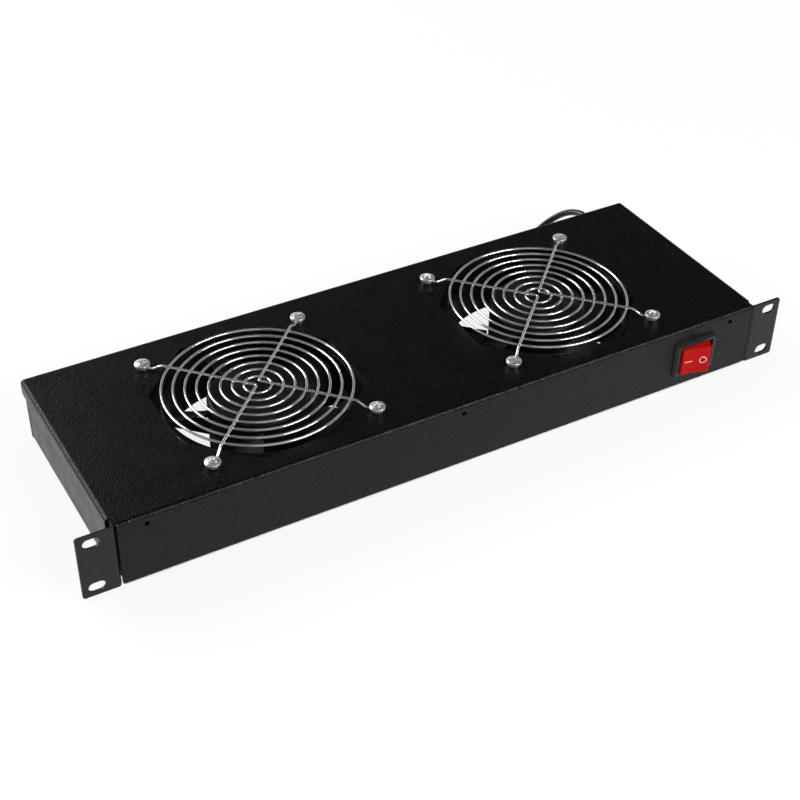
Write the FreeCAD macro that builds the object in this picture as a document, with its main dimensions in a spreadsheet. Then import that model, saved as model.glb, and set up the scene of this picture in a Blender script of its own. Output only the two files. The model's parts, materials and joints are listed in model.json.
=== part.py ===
# Rack fan tray: a folded steel tray for a 19-inch rack that carries two axial mains fans.
# Millimetres, +Z up, +X to the right along the front panel, +Y towards the back.
# The origin lies midway between the four rack slots, on the rear face of the ears.

import FreeCAD, Part
import math
import os
import re
import Sketcher
from FreeCAD import Placement, Rotation, Vector

# Every driving size, with the words that say what it measures.
SIZES = (
    ("rack_width", 482.6, "across both rack ears"),
    ("ear_height", 43.6, "height of a rack ear"),
    ("slot_spacing_x", 465.1, "rack slots, centre to centre across the rack"),
    ("slot_spacing_z", 31.75, "rack slots, centre to centre up the ear"),
    ("slot_length", 10.0, "long way of a rack slot"),
    ("slot_width", 6.5, "short way of a rack slot"),
    ("bracket_sheet", 1.5, "sheet of the ear brackets"),
    ("ear_bend", 1.2, "inner radius of the bend between ear and side wall"),
    ("ear_corner", 1.5, "rounding of the ear's outer corners"),
    ("wall_gap", 1.2, "rear end of the side walls to the rear flange"),
    ("wall_lift", 1.5, "lower edge of the side walls above the ear's lower edge"),
    ("body_width", 443.4, "across the side lips of the deck"),
    ("body_depth", 150.0, "front panel to rear flange, outside"),
    ("deck_sheet", 2.0, "sheet of the deck"),
    ("deck_step", 0.8, "deck above the ear's upper edge"),
    ("fold_radius", 2.6, "outer radius of the deck's folds"),
    ("lip_height", 9.4, "height of the side lips"),
    ("panel_gap", 0.4, "end of the front panel to the side wall"),
    ("panel_lift", 0.8, "lower edge of the front panel above the ear's lower edge"),
    ("notch_depth", 7.5, "relief notch at the front corners of the deck"),
    ("panel_hole", 3.0, "plain holes in the front panel"),
    ("panel_hole_pitch", 200.5, "spacing of the plain holes"),
    ("panel_hole_drop", 6.2, "plain holes below the deck"),
    ("fan_pitch", 200.0, "fan to fan"),
    ("fan_setback", 72.8, "front panel to the fans' axis"),
    ("opening_flats", 120.0, "eight-sided deck opening across flats"),
    ("fan_size", 119.4, "side of the square fan frame"),
    ("fan_depth", 38.0, "depth of the fan frame"),
    ("fan_corner", 5.0, "corner rounding of the fan frame"),
    ("screw_square", 105.0, "fan screws, centre to centre"),
    ("flange_sheet", 4.5, "thickness of the fan frame's flanges"),
    ("duct_diameter", 115.0, "bore of the fan"),
    ("duct_wall", 1.7, "wall of the fan's duct"),
    ("strut_width", 6.0, "width of a motor strut"),
    ("strut_height", 7.0, "depth of a motor strut"),
    ("base_diameter", 62.0, "motor base across"),
    ("base_sheet", 4.0, "thickness of the motor base"),
    ("tube_wall", 1.6, "wall of the bearing tube"),
    ("bearing_outer", 10.0, "bearing outside diameter"),
    ("bearing_width", 4.0, "bearing width"),
    ("bearing_lift", 2.5, "lower bearing above the underside of the frame"),
    ("shaft_diameter", 4.0, "rotor shaft"),
    ("shaft_play", 0.03, "running clearance of the shaft in its bearings"),
    ("slip_fit", 0.05, "clearance of pieces pushed over one another"),
    ("axial_play", 0.3, "axial clearance of the rotor at its bearings"),
    ("clip_sheet", 0.6, "thickness of the shaft clip"),
    ("clip_diameter", 7.6, "shaft clip across"),
    ("hub_diameter", 62.0, "impeller hub across"),
    ("hub_recess", 1.0, "hub below the fan's upper face"),
    ("hub_wall", 2.8, "wall of the hub cup"),
    ("hub_gap", 2.0, "hub above the motor base"),
    ("boss_diameter", 9.0, "shaft boss under the hub"),
    ("blade_count", 5, "blades on an impeller"),
    ("blade_top", 4.5, "leading edges below the fan's upper face"),
    ("blade_drop", 22.0, "axial height of a blade"),
    ("blade_sheet", 1.8, "thickness of a blade"),
    ("root_pitch", 46.0, "blade angle at the hub"),
    ("tip_pitch", 29.0, "blade angle at the tip"),
    ("tip_gap", 1.4, "blade tip to duct"),
    ("rest_left", 14.0, "angle at which the left impeller stands"),
    ("rest_right", 50.0, "angle at which the right impeller stands"),
    ("ring_sheet", 4.0, "wall of the steel rotor ring"),
    ("ring_height", 17.0, "height of the rotor ring"),
    ("air_gap", 0.6, "rotor ring to stator core"),
    ("core_height", 13.0, "stack height of the stator core"),
    ("core_ring", 5.0, "wall of the stator core's inner ring"),
    ("shoe_sheet", 3.0, "thickness of a pole shoe"),
    ("shoe_gap", 4.0, "slot between two pole shoes"),
    ("pole_width", 8.0, "width of a pole"),
    ("coil_build", 3.0, "thickness of a stator coil"),
    ("coil_fit", 0.25, "coil clear of the core"),
    ("pin_width", 2.8, "width of a fan terminal"),
    ("pin_sheet", 0.6, "thickness of a terminal"),
    ("pin_length", 8.0, "length of a terminal"),
    ("pin_spacing", 8.0, "fan terminals apart"),
    ("holder_width", 9.0, "side of the fan's terminal holder"),
    ("holder_height", 16.0, "height of the fan's terminal holder"),
    ("wire_diameter", 1.6, "wire of the finger guards"),
    ("ring_first", 8.25, "radius of the innermost guard ring"),
    ("ring_step", 7.0, "guard rings apart"),
    ("ring_count", 8, "rings of a guard"),
    ("guard_rise", 3.1, "guard rings above the deck"),
    ("weld_bite", 0.2, "wires sunk into one another at the welds"),
    ("vee_offset", 1.3, "point of a support wire to the side of the fan's axis"),
    ("vee_skew", 1.8, "point of a support wire along the fan, the two in opposite ways"),
    ("vee_bend", 2.6, "bend radius of a support wire"),
    ("joggle_reach", 5.5, "plan length of the support wire's step down"),
    ("joggle_start", 4.0, "flat length of a support wire at its eye"),
    ("eye_play", 0.3, "guard eye clear of its screw"),
    ("screw_diameter", 4.0, "guard screws"),
    ("screw_head", 9.6, "head of a guard screw across"),
    ("screw_side", 1.8, "upright side of a screw head"),
    ("screw_rise", 2.9, "head of a guard screw, height"),
    ("screw_spare", 1.2, "screw beyond its nut"),
    ("hole_play", 0.3, "screw holes clear of the screws, all round"),
    ("washer_diameter", 7.6, "lock washer across"),
    ("washer_sheet", 0.9, "lock washer thickness"),
    ("nut_flats", 7.0, "nut across flats"),
    ("nut_height", 3.2, "nut thickness"),
    ("switch_offset", 173.4, "switch to the right of the middle"),
    ("switch_drop", 0.3, "switch below the middle of the ears"),
    ("bezel_lap", 1.6, "switch bezel beyond the switch body"),
    ("bezel_rise", 2.7, "switch bezel proud of the panel"),
    ("bezel_slope", 22.0, "slope of the bezel's sides"),
    ("neck_width", 28.0, "switch body behind the panel, width"),
    ("neck_height", 22.0, "switch body behind the panel, height"),
    ("switch_depth", 22.0, "switch body behind the panel, depth"),
    ("switch_fit", 0.15, "switch body clear of its cut-out"),
    ("wing_reach", 0.9, "snap wings beyond the cut-out"),
    ("wing_height", 9.0, "height of a snap wing"),
    ("wing_length", 7.0, "length of a snap wing"),
    ("recess_wall", 1.2, "wall beside the rocker's recess"),
    ("recess_depth", 12.5, "recess for the rocker behind the panel's face"),
    ("rocker_wall", 1.4, "rocker below the top of the switch body, and above its foot"),
    ("rocker_inset", 3.3, "end of the rocker's face to the side of the recess"),
    ("rocker_sweep", 0.7, "foot of the rocker clear of the side of the recess"),
    ("rocker_play", 0.3, "rocker clear of the recess, above and below"),
    ("rocker_reach", 12.6, "face of the rocker in front of its pivot"),
    ("rocker_dish", 0.7, "hollow of the rocker's face"),
    ("rocker_tail", 4.4, "rocker behind its pivot"),
    ("rocker_tilt", 14.5, "rocker either side of its middle"),
    ("rocker_round", 0.9, "rounding of the rocker's face"),
    ("pivot_depth", 5.3, "pivot behind the panel's face"),
    ("pivot_diameter", 3.0, "pivot pins of the rocker"),
    ("pivot_reach", 0.9, "pivot pins beyond the rocker"),
    ("tab_width", 6.3, "switch terminals, width"),
    ("tab_length", 9.0, "switch terminals, length"),
    ("tab_sheet", 0.8, "switch terminals, thickness"),
    ("tab_spread_x", 14.0, "switch terminals apart, across"),
    ("tab_spread_z", 11.0, "switch terminals apart, upwards"),
    ("sleeve_wall", 0.9, "wall of a spade sleeve"),
    ("sleeve_length", 14.0, "length of a spade sleeve"),
    ("sleeve_fit", 0.1, "spade sleeve clear of its terminal"),
    ("core_diameter", 2.2, "insulated cores of the leads"),
    ("clip_width", 8.0, "lead clip, along the lead"),
    ("clip_wall", 1.4, "lead clip, wall"),
    ("clip_pitch", 38.0, "lead clips apart"),
    ("stud_diameter", 4.0, "earth stud"),
    ("stud_length", 9.0, "earth stud below the deck"),
    ("stud_offset", 190.0, "earth stud to the right of the middle"),
    ("stud_setback", 122.0, "earth stud behind the front panel"),
    ("lug_sheet", 0.8, "earth lug thickness"),
    ("lug_diameter", 8.0, "earth lug across"),
    ("cord_offset", 207.5, "cord to the right of the middle"),
    ("cord_rise", 3.2, "cord above the middle of the ears"),
    ("cord_diameter", 4.6, "power cord"),
    ("cord_tuck", 12.0, "cord jacket inside the rear flange"),
    ("cord_start", 6.5, "free length of the cord from this far behind the rear flange"),
    ("bushing_barrel", 11.5, "cord bushing in its hole, across"),
    ("bushing_head", 15.5, "head of the cord bushing across"),
    ("bushing_rim", 2.2, "thickness of the bushing's head"),
    ("bushing_catch", 0.8, "catch of the bushing behind the sheet"),
    ("bushing_inside", 6.0, "bushing inside the rear flange"),
    ("bushing_taper", 13.0, "tapered sleeve of the bushing"),
    ("taper_wall", 1.0, "wall at the thin end of a tapered sleeve"),
    ("hank_run", 90.0, "straight runs of the cord's hank"),
    ("hank_fold", 13.8, "radius of the hank's inner folds"),
    ("hank_offset", 99.0, "middle of the hank to the right of the middle"),
    ("hank_gap", 2.0, "hank behind the rear flange"),
    ("hank_wide", 2, "runs of the hank side by side"),
    ("hank_layers", 3, "runs of the hank on one another"),
    ("tie_width", 12.0, "tie round the hank"),
    ("tie_sheet", 1.2, "thickness of the tie"),
    ("tie_fit", 0.2, "tie clear of the hank"),
    ("plug_width", 27.0, "plug, width"),
    ("plug_height", 18.0, "plug, height"),
    ("grip_length", 28.0, "grip of the plug"),
    ("shroud_width", 23.6, "shroud of the plug, width"),
    ("shroud_height", 16.0, "shroud of the plug, height"),
    ("shroud_length", 19.0, "shroud of the plug, length"),
    ("shroud_wall", 2.0, "wall of the plug's shroud"),
    ("plug_taper", 20.0, "tapered sleeve of the plug"),
    ("plug_offset", -50.0, "back of the plug's grip, to the right of the middle"),
    ("plug_setback", 16.0, "plug's axis behind the rear flange"),
    ("blade_width", 4.0, "plug pins, width"),
    ("blade_thick", 2.0, "plug pins, thickness"),
    ("blade_length", 15.0, "plug pins, length"),
    ("blade_spread", 14.0, "outer plug pins apart"),
    ("blade_step", 4.0, "middle plug pin above the outer ones"),
)

# Lines of the tray that several pieces share.
FLOOR = "(-ear_height / 2)"
DECK_TOP = "(ear_height / 2 + deck_step)"
DECK_UNDER = f"({DECK_TOP} - deck_sheet)"
PANEL_FACE = "(-bracket_sheet)"
REAR_FACE = "(body_depth - bracket_sheet)"
REAR_INSIDE = f"({REAR_FACE} - deck_sheet)"
BODY_SIDE = "(body_width / 2)"
WALL_OUT = f"({BODY_SIDE} - deck_sheet)"
WALL_IN = f"({WALL_OUT} - bracket_sheet)"
PANEL_END = f"({WALL_IN} - panel_gap)"
NOTCH_END = "(notch_depth - bracket_sheet)"
FAN_Y = f"({PANEL_FACE} + fan_setback)"
SWITCH_Z = "(-switch_drop)"
CORD_X = "cord_offset"
STUD_X = "stud_offset"
STUD_Y = f"({PANEL_FACE} + stud_setback)"
SIDES = (("left", -1), ("right", 1))
SPARE = "1"

doc = FreeCAD.newDocument("rack_fan_tray")
dims = doc.addObject("Spreadsheet::Sheet", "dims")
for row, (name, amount, meaning) in enumerate(SIZES, 1):
    dims.set(f"A{row}", meaning)
    dims.set(f"B{row}", str(amount))
    dims.setAlias(f"B{row}", name)
doc.recompute()
nodes = []


def size(name):
    """One driving size as a number."""
    return float(dims.get(name))


def cells(text):
    """The same formula with each size read from its cell."""
    return re.sub(r"\b[a-z]+_\w+", r"dims.\g<0>", text)


def amount(formula):
    """A formula of sizes as a number."""
    return dims.evalExpression(cells(formula))


def bind(item, **formulas):
    for prop, text in formulas.items():
        item.setExpression(prop, cells(text))
    return item


def place(item, x="0", y="0", z="0"):
    for axis, text in zip("xyz", (x, y, z)):
        item.setExpression("Placement.Base." + axis, cells(text))
    return item


def turn(item, axis, degrees):
    item.Placement = Placement(item.Placement.Base, Rotation(Vector(*axis), degrees))
    return item


def node(item, label):
    """Names a finished piece, which gets a file of its own."""
    item.Label = label
    nodes.append(item)
    return item


def block(low, high):
    """A box between two corners."""
    item = doc.addObject("Part::Box", "block")
    for prop, start, end in zip(("Length", "Width", "Height"), low, high):
        item.setExpression(prop, cells(f"({end}) - ({start})"))
    return place(item, *low)


def rod(radius, low, high, x="0", y="0"):
    """An upright cylinder between two heights."""
    item = bind(doc.addObject("Part::Cylinder", "rod"), Radius=radius, Height=f"({high}) - ({low})")
    return place(item, x, y, low)


def taper(low_radius, high_radius, low, high):
    item = doc.addObject("Part::Cone", "taper")
    bind(item, Radius1=low_radius, Radius2=high_radius, Height=f"({high}) - ({low})")
    return place(item, z=low)


def hoop(radius, wire, x="0", y="0", z="0"):
    item = bind(doc.addObject("Part::Torus", "hoop"), Radius1=radius, Radius2=wire)
    return place(item, x, y, z)


def hexagon(flats, low, high, x, y):
    item = doc.addObject("Part::Prism", "hexagon")
    item.Polygon = 6
    bind(item, Circumradius=f"{flats} / 2 / cos(30)", Height=f"({high}) - ({low})")
    return place(item, x, y, low)


def fuse(*pieces):
    item = doc.addObject("Part::MultiFuse", "fuse")
    item.Shapes = list(pieces)
    return item


def cut(base, *tools):
    item = doc.addObject("Part::Cut", "cut")
    item.Base = base
    item.Tool = tools[0] if len(tools) == 1 else fuse(*tools)
    return item


def overlap(first, second):
    item = doc.addObject("Part::Common", "overlap")
    item.Base = first
    item.Tool = second
    return item


def group(pieces):
    """Separate solids that share one node."""
    item = doc.addObject("Part::Compound", "group")
    item.Links = list(pieces)
    return item


def ring(outer, inner, low, high, x="0", y="0"):
    return cut(rod(outer, low, high, x, y), rod(inner, f"{low} - {SPARE}", f"{high} + {SPARE}", x, y))


def solid(shape, name):
    """A piece whose shape is worked out here from the sheet's sizes."""
    item = doc.addObject("Part::Feature", name)
    item.Shape = shape
    return item


def body(name):
    return doc.addObject("PartDesign::Body", name)


def sketch(owner, plane, offset="0"):
    item = owner.newObject("Sketcher::SketchObject", "sketch")
    support = [feature for feature in owner.Origin.OriginFeatures if feature.Role == plane]
    item.AttachmentSupport = [(support[0], "")]
    item.MapMode = "FlatFace"
    item.setExpression("AttachmentOffset.Base.z", cells(offset))
    return item


def pin_point(item, geometry, point, x, y):
    """Holds a point of a sketch at two formulas measured from the sketch's origin."""
    for kind, text in (("DistanceX", x), ("DistanceY", y)):
        number = item.addConstraint(Sketcher.Constraint(kind, -1, 1, geometry, point, 1.0))
        item.setExpression(f"Constraints[{number}]", cells(text))


def polygon(item, *corners):
    first = item.GeometryCount
    count = len(corners)
    angles = [2 * math.pi * k / count for k in range(count)]
    spots = [Vector(math.cos(angle), math.sin(angle), 0) for angle in angles]
    for k in range(count):
        item.addGeometry(Part.LineSegment(spots[k], spots[(k + 1) % count]))
    for k in range(count):
        item.addConstraint(Sketcher.Constraint("Coincident", first + k, 2, first + (k + 1) % count, 1))
    for k, (x, y) in enumerate(corners):
        pin_point(item, first + k, 1, x, y)
    return item


def rectangle(item, x0, x1, y0, y1):
    return polygon(item, (x0, y0), (x1, y0), (x1, y1), (x0, y1))


def circle(item, radius, x="0", y="0"):
    number = item.addGeometry(Part.Circle(Vector(1, 1, 0), Vector(0, 0, 1), 1))
    pin_point(item, number, 3, x, y)
    constraint = item.addConstraint(Sketcher.Constraint("Radius", number, 1.0))
    item.setExpression(f"Constraints[{constraint}]", cells(radius))
    return item


def pad(owner, profile, length, backwards=False, both_ways=False, slope=None):
    item = owner.newObject("PartDesign::Pad", "pad")
    item.Profile = profile
    item.Reversed = backwards
    item.Midplane = both_ways
    bind(item, Length=length)
    if slope:
        bind(item, TaperAngle=slope)
    return item


def pocket(owner, profile, length=None, backwards=False, both_ways=False):
    """Cuts a profile to a depth, or right through where none is given."""
    item = owner.newObject("PartDesign::Pocket", "pocket")
    item.Profile = profile
    item.Reversed = backwards
    item.Midplane = both_ways
    if length:
        bind(item, Length=length)
    else:
        item.Type = "ThroughAll"
    return item


def fillet(owner, radius, chosen):
    """Rounds the edges of a body that the test picks."""
    doc.recompute()
    tip = owner.Tip
    edges = [f"Edge{k}" for k, edge in enumerate(tip.Shape.Edges, 1) if chosen(edge)]
    item = owner.newObject("PartDesign::Fillet", "fillet")
    item.Base = (tip, edges)
    return bind(item, Radius=radius)


def level(edge, axis):
    """The coordinate that every point of an edge shares, or None."""
    values = [getattr(vertex.Point, axis) for vertex in edge.Vertexes]
    return values[0] if max(values) - min(values) < 1e-6 else None


def near(value, target):
    return value is not None and abs(value - target) < 1e-4


def upright_at(edge, spots):
    """Whether an upright edge stands at one of the given places."""
    return level(edge, "z") is None and any(
        near(level(edge, "x"), x) and near(level(edge, "y"), y) for x, y in spots)


def rounded_path(points, radius=None):
    """Straight runs joined by tangent arcs, each as large as its runs allow unless a radius is given."""
    edges = []
    radii = []
    start = points[0]
    for before, corner, after in zip(points, points[1:], points[2:]):
        back = (before - corner).normalize()
        ahead = (after - corner).normalize()
        half_turn = (math.pi - back.getAngle(ahead)) / 2
        tangent = 0.45 * min((before - corner).Length, (after - corner).Length)
        if radius:
            tangent = min(tangent, radius * math.tan(half_turn))
        bend = tangent / math.tan(half_turn)
        inward = (back + ahead).normalize() * (bend / math.cos(half_turn) - bend)
        arc = Part.Arc(corner + back * tangent, corner + inward, corner + ahead * tangent)
        edges += [Part.LineSegment(start, corner + back * tangent).toShape(), arc.toShape()]
        radii.append(bend)
        start = corner + ahead * tangent
    edges.append(Part.LineSegment(start, points[-1]).toShape())
    return Part.Wire(edges), radii


def tube(points, diameter, radius=None, told=None):
    """A round section carried along a path of runs and arcs."""
    path, radii = rounded_path(points, radius)
    section = Part.Wire([Part.makeCircle(diameter / 2, points[0], points[1] - points[0])])
    shape = path.makePipeShell([section], True, False)
    share = shape.Volume / (path.Length * math.pi * diameter ** 2 / 4)
    if abs(share - 1) > 0.01:
        raise RuntimeError(f"tube volume is {share:.3f} of section times length")
    if told:
        bends = ", ".join(f"{bend:.0f}" for bend in radii)
        print(f"{told}: {path.Length:.0f} mm, bend radii {bends}")
    return shape


def tray_deck():
    """The folded sheet: deck, front panel, side lips and rear flange."""
    tray = body("tray_deck")
    outline = sketch(tray, "XY_Plane", FLOOR)
    rectangle(outline, f"-{BODY_SIDE}", BODY_SIDE, PANEL_FACE, REAR_FACE)
    pad(tray, outline, f"{DECK_TOP} - {FLOOR}")
    doc.recompute()
    box = tray.Shape.BoundBox
    corners = [(x, y) for x in (box.XMin, box.XMax) for y in (box.YMin, box.YMax)]
    fillet(tray, "fold_radius", lambda edge: near(level(edge, "z"), box.ZMax) or upright_at(edge, corners))
    doc.recompute()
    rounded = tray.Tip
    underside = [f"Face{k}" for k, face in enumerate(rounded.Shape.Faces, 1)
                 if near(face.BoundBox.ZMax, box.ZMin)]
    shell = tray.newObject("PartDesign::Thickness", "shell")
    shell.Base = (rounded, underside)
    shell.Reversed = True
    bind(shell, Value="deck_sheet")

    notches = sketch(tray, "XY_Plane", DECK_TOP)
    for name, sign in SIDES:
        ends = (f"{sign} * {PANEL_END}", f"{sign} * ({BODY_SIDE} + {SPARE})")
        rectangle(notches, *ends, f"{PANEL_FACE} - {SPARE}", NOTCH_END)
    pocket(tray, notches)

    lips = sketch(tray, "XY_Plane", FLOOR)
    for name, sign in SIDES:
        ends = (f"{sign} * {WALL_OUT}", f"{sign} * ({BODY_SIDE} + {SPARE})")
        rectangle(lips, *ends, f"{PANEL_FACE} - {SPARE}", f"{REAR_FACE} + {SPARE}")
    pocket(tray, lips, f"{DECK_TOP} - {FLOOR} - lip_height", backwards=True)

    panel_foot = sketch(tray, "XY_Plane", FLOOR)
    ends = (f"-{BODY_SIDE} - {SPARE}", f"{BODY_SIDE} + {SPARE}")
    rectangle(panel_foot, *ends, f"{PANEL_FACE} - {SPARE}", NOTCH_END)
    pocket(tray, panel_foot, "panel_lift", backwards=True)

    openings = sketch(tray, "XY_Plane", DECK_TOP)
    flat = "(opening_flats / 2)"
    side = "(opening_flats / 2 * tan(22.5))"
    corners = ((flat, f"-{side}"), (flat, side), (side, flat), (f"-{side}", flat),
               (f"-{flat}", side), (f"-{flat}", f"-{side}"), (f"-{side}", f"-{flat}"), (side, f"-{flat}"))
    for name, sign in SIDES:
        centre = f"{sign} * fan_pitch / 2"
        polygon(openings, *[(f"{centre} + {x}", f"{FAN_Y} + {y}") for x, y in corners])
    for x, y in screw_places():
        circle(openings, "screw_diameter / 2 + hole_play", x, y)
    pocket(tray, openings)

    front = sketch(tray, "XZ_Plane", f"-{PANEL_FACE} + {SPARE}")
    half_width = "(neck_width / 2 + switch_fit)"
    half_height = "(neck_height / 2 + switch_fit)"
    rectangle(front, f"switch_offset - {half_width}", f"switch_offset + {half_width}",
              f"{SWITCH_Z} - {half_height}", f"{SWITCH_Z} + {half_height}")
    for step in (-1, 0, 1):
        circle(front, "panel_hole / 2", f"{step} * panel_hole_pitch", f"{DECK_TOP} - panel_hole_drop")
    pocket(tray, front, f"deck_sheet + 2 * {SPARE}")

    rear = sketch(tray, "XZ_Plane", f"-{REAR_INSIDE} + {SPARE}")
    circle(rear, "bushing_barrel / 2 + slip_fit", CORD_X, "cord_rise")
    pocket(tray, rear, f"deck_sheet + 2 * {SPARE}")
    return node(tray, "tray_deck")


def ear_bracket(name, sign):
    """A side wall that stands inside the deck's lip, bent outwards into a slotted rack ear."""
    bracket = body("bracket")
    plan = sketch(bracket, "XY_Plane", FLOOR)
    corners = ((WALL_IN, PANEL_FACE), ("rack_width / 2", PANEL_FACE), ("rack_width / 2", "0"),
               (WALL_OUT, "0"), (WALL_OUT, NOTCH_END), (WALL_IN, NOTCH_END))
    polygon(plan, *[(f"{sign} * {x}", y) for x, y in corners])
    pad(bracket, plan, "ear_height")
    doc.recompute()
    outside = [(sign * amount(WALL_IN), amount(PANEL_FACE))]
    inside = [(sign * amount(WALL_OUT), 0)]
    fillet(bracket, "ear_bend + bracket_sheet", lambda edge: upright_at(edge, outside))
    fillet(bracket, "ear_bend", lambda edge: upright_at(edge, inside))
    tip_x = sign * size("rack_width") / 2
    fillet(bracket, "ear_corner", lambda edge: near(level(edge, "x"), tip_x) and near(
        abs(level(edge, "z") or 0), size("ear_height") / 2))
    wall = sketch(bracket, "XY_Plane", f"{FLOOR} + wall_lift")
    ends = (f"{NOTCH_END} - bracket_sheet", f"{REAR_INSIDE} - wall_gap")
    rectangle(wall, f"{sign} * {WALL_IN}", f"{sign} * {WALL_OUT}", *ends)
    pad(bracket, wall, f"{DECK_UNDER} - ({FLOOR} + wall_lift)")
    fillet(bracket, "fold_radius - deck_sheet + slip_fit", lambda edge: near(
        level(edge, "x"), sign * amount(WALL_OUT)) and near(level(edge, "z"), amount(DECK_UNDER)))
    middles = sketch(bracket, "XZ_Plane", f"-{PANEL_FACE} + {SPARE}")
    rounds = sketch(bracket, "XZ_Plane", f"-{PANEL_FACE} + {SPARE}")
    half = "(slot_length - slot_width) / 2"
    for up in (-1, 1):
        x = f"{sign} * slot_spacing_x / 2"
        z = f"{up} * slot_spacing_z / 2"
        rectangle(middles, f"{x} - {half}", f"{x} + {half}", f"{z} - slot_width / 2", f"{z} + slot_width / 2")
        circle(rounds, "slot_width / 2", f"{x} - {half}", z)
        circle(rounds, "slot_width / 2", f"{x} + {half}", z)
    pocket(bracket, middles, f"bracket_sheet + 2 * {SPARE}")
    pocket(bracket, rounds, f"bracket_sheet + 2 * {SPARE}")
    return node(bracket, f"ear_bracket_{name}")


def screw_places():
    """The eight guard screws, seen from above."""
    return [(f"{side} * fan_pitch / 2 + {across} * screw_square / 2", f"{FAN_Y} + {along} * screw_square / 2")
            for label, side in SIDES for across in (-1, 1) for along in (-1, 1)]


def at_fan(item, sign):
    """Puts a piece made about the fan's axis, below its upper face, under the deck."""
    return place(item, f"{sign} * fan_pitch / 2", FAN_Y, DECK_UNDER)


# Heights of the motor, measured from the fan's upper face, its terminal holder, and the lane of the leads.
FAN_FOOT = "(-fan_depth)"
BASE_TOP = "(-fan_depth + base_sheet)"
HUB_TOP = "(-hub_recess)"
HUB_FOOT = f"({BASE_TOP} + hub_gap)"
BEARING_LOW = "(-fan_depth + bearing_lift)"
RING_LOW = f"({HUB_FOOT} + axial_play)"
RING_MIDDLE = f"({RING_LOW} + ring_height / 2)"
TUBE_TOP = f"({RING_MIDDLE} + core_height / 2 + coil_build + coil_fit)"
TUBE_OUT = "(bearing_outer / 2 + slip_fit + tube_wall)"
RING_OUT = "(hub_diameter / 2 - hub_wall - slip_fit)"
CORE_OUT = f"({RING_OUT} - ring_sheet - air_gap)"
HOLDER_Z = "(-fan_depth / 2)"
HOLDER_IN = "((duct_diameter + duct_wall) / 2 * cos(45))"
LANE = f"(({FAN_Y} + fan_size / 2 + {REAR_INSIDE}) / 2)"


def fan_frame(name, sign):
    """Cast frame: two square flanges, the duct, struts, motor base and bearing tube."""
    frame = body("frame")
    half = "fan_size / 2"
    for low, high in ((FAN_FOOT, f"{FAN_FOOT} + flange_sheet"), ("-flange_sheet", "0")):
        flange = sketch(frame, "XY_Plane", low)
        rectangle(flange, f"-{half}", half, f"-{half}", half)
        pad(frame, flange, f"({high}) - ({low})")
        spread = size("fan_size") / 2
        corners = [(x, y) for x in (-spread, spread) for y in (-spread, spread)]
        if low == FAN_FOOT:
            duct = sketch(frame, "XY_Plane", FAN_FOOT)
            circle(duct, "duct_diameter / 2 + duct_wall")
            pad(frame, duct, "fan_depth")
    fillet(frame, "fan_corner", lambda edge: upright_at(edge, corners))
    bore = sketch(frame, "XY_Plane")
    circle(bore, "duct_diameter / 2")
    pocket(frame, bore)
    holes = sketch(frame, "XY_Plane")
    for across in (-1, 1):
        for along in (-1, 1):
            circle(holes, "screw_diameter / 2 + hole_play",
                   f"{across} * screw_square / 2", f"{along} * screw_square / 2")
    pocket(frame, holes)

    struts = sketch(frame, "XY_Plane", FAN_FOOT)
    struts.AttachmentOffset = Placement(struts.AttachmentOffset.Base, Rotation(Vector(0, 0, 1), 45))
    reach = "((duct_diameter + duct_wall) / 2)"
    arm = "(strut_width / 2)"
    polygon(struts, (reach, f"-{arm}"), (reach, arm), (arm, arm), (arm, reach), (f"-{arm}", reach),
            (f"-{arm}", arm), (f"-{reach}", arm), (f"-{reach}", f"-{arm}"), (f"-{arm}", f"-{arm}"),
            (f"-{arm}", f"-{reach}"), (arm, f"-{reach}"), (arm, f"-{arm}"))
    pad(frame, struts, "strut_height")
    clearing = sketch(frame, "XY_Plane", f"{FAN_FOOT} + strut_height")
    circle(clearing, "hub_diameter / 2 + hub_gap")
    pocket(frame, clearing, "strut_height - base_sheet")
    base = sketch(frame, "XY_Plane", FAN_FOOT)
    circle(base, "base_diameter / 2")
    pad(frame, base, "base_sheet")
    stem = sketch(frame, "XY_Plane", FAN_FOOT)
    circle(stem, TUBE_OUT)
    pad(frame, stem, f"{TUBE_TOP} - {FAN_FOOT}")
    seat = sketch(frame, "XY_Plane", TUBE_TOP)
    circle(seat, "bearing_outer / 2 + slip_fit")
    pocket(frame, seat)
    holder = sketch(frame, "XY_Plane", f"{HOLDER_Z} - holder_height / 2")
    rectangle(holder, HOLDER_IN, f"{HOLDER_IN} + holder_width", HOLDER_IN, f"{HOLDER_IN} + holder_width")
    pad(frame, holder, "holder_height")
    return node(at_fan(frame, sign), f"fan_frame_{name}")


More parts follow.
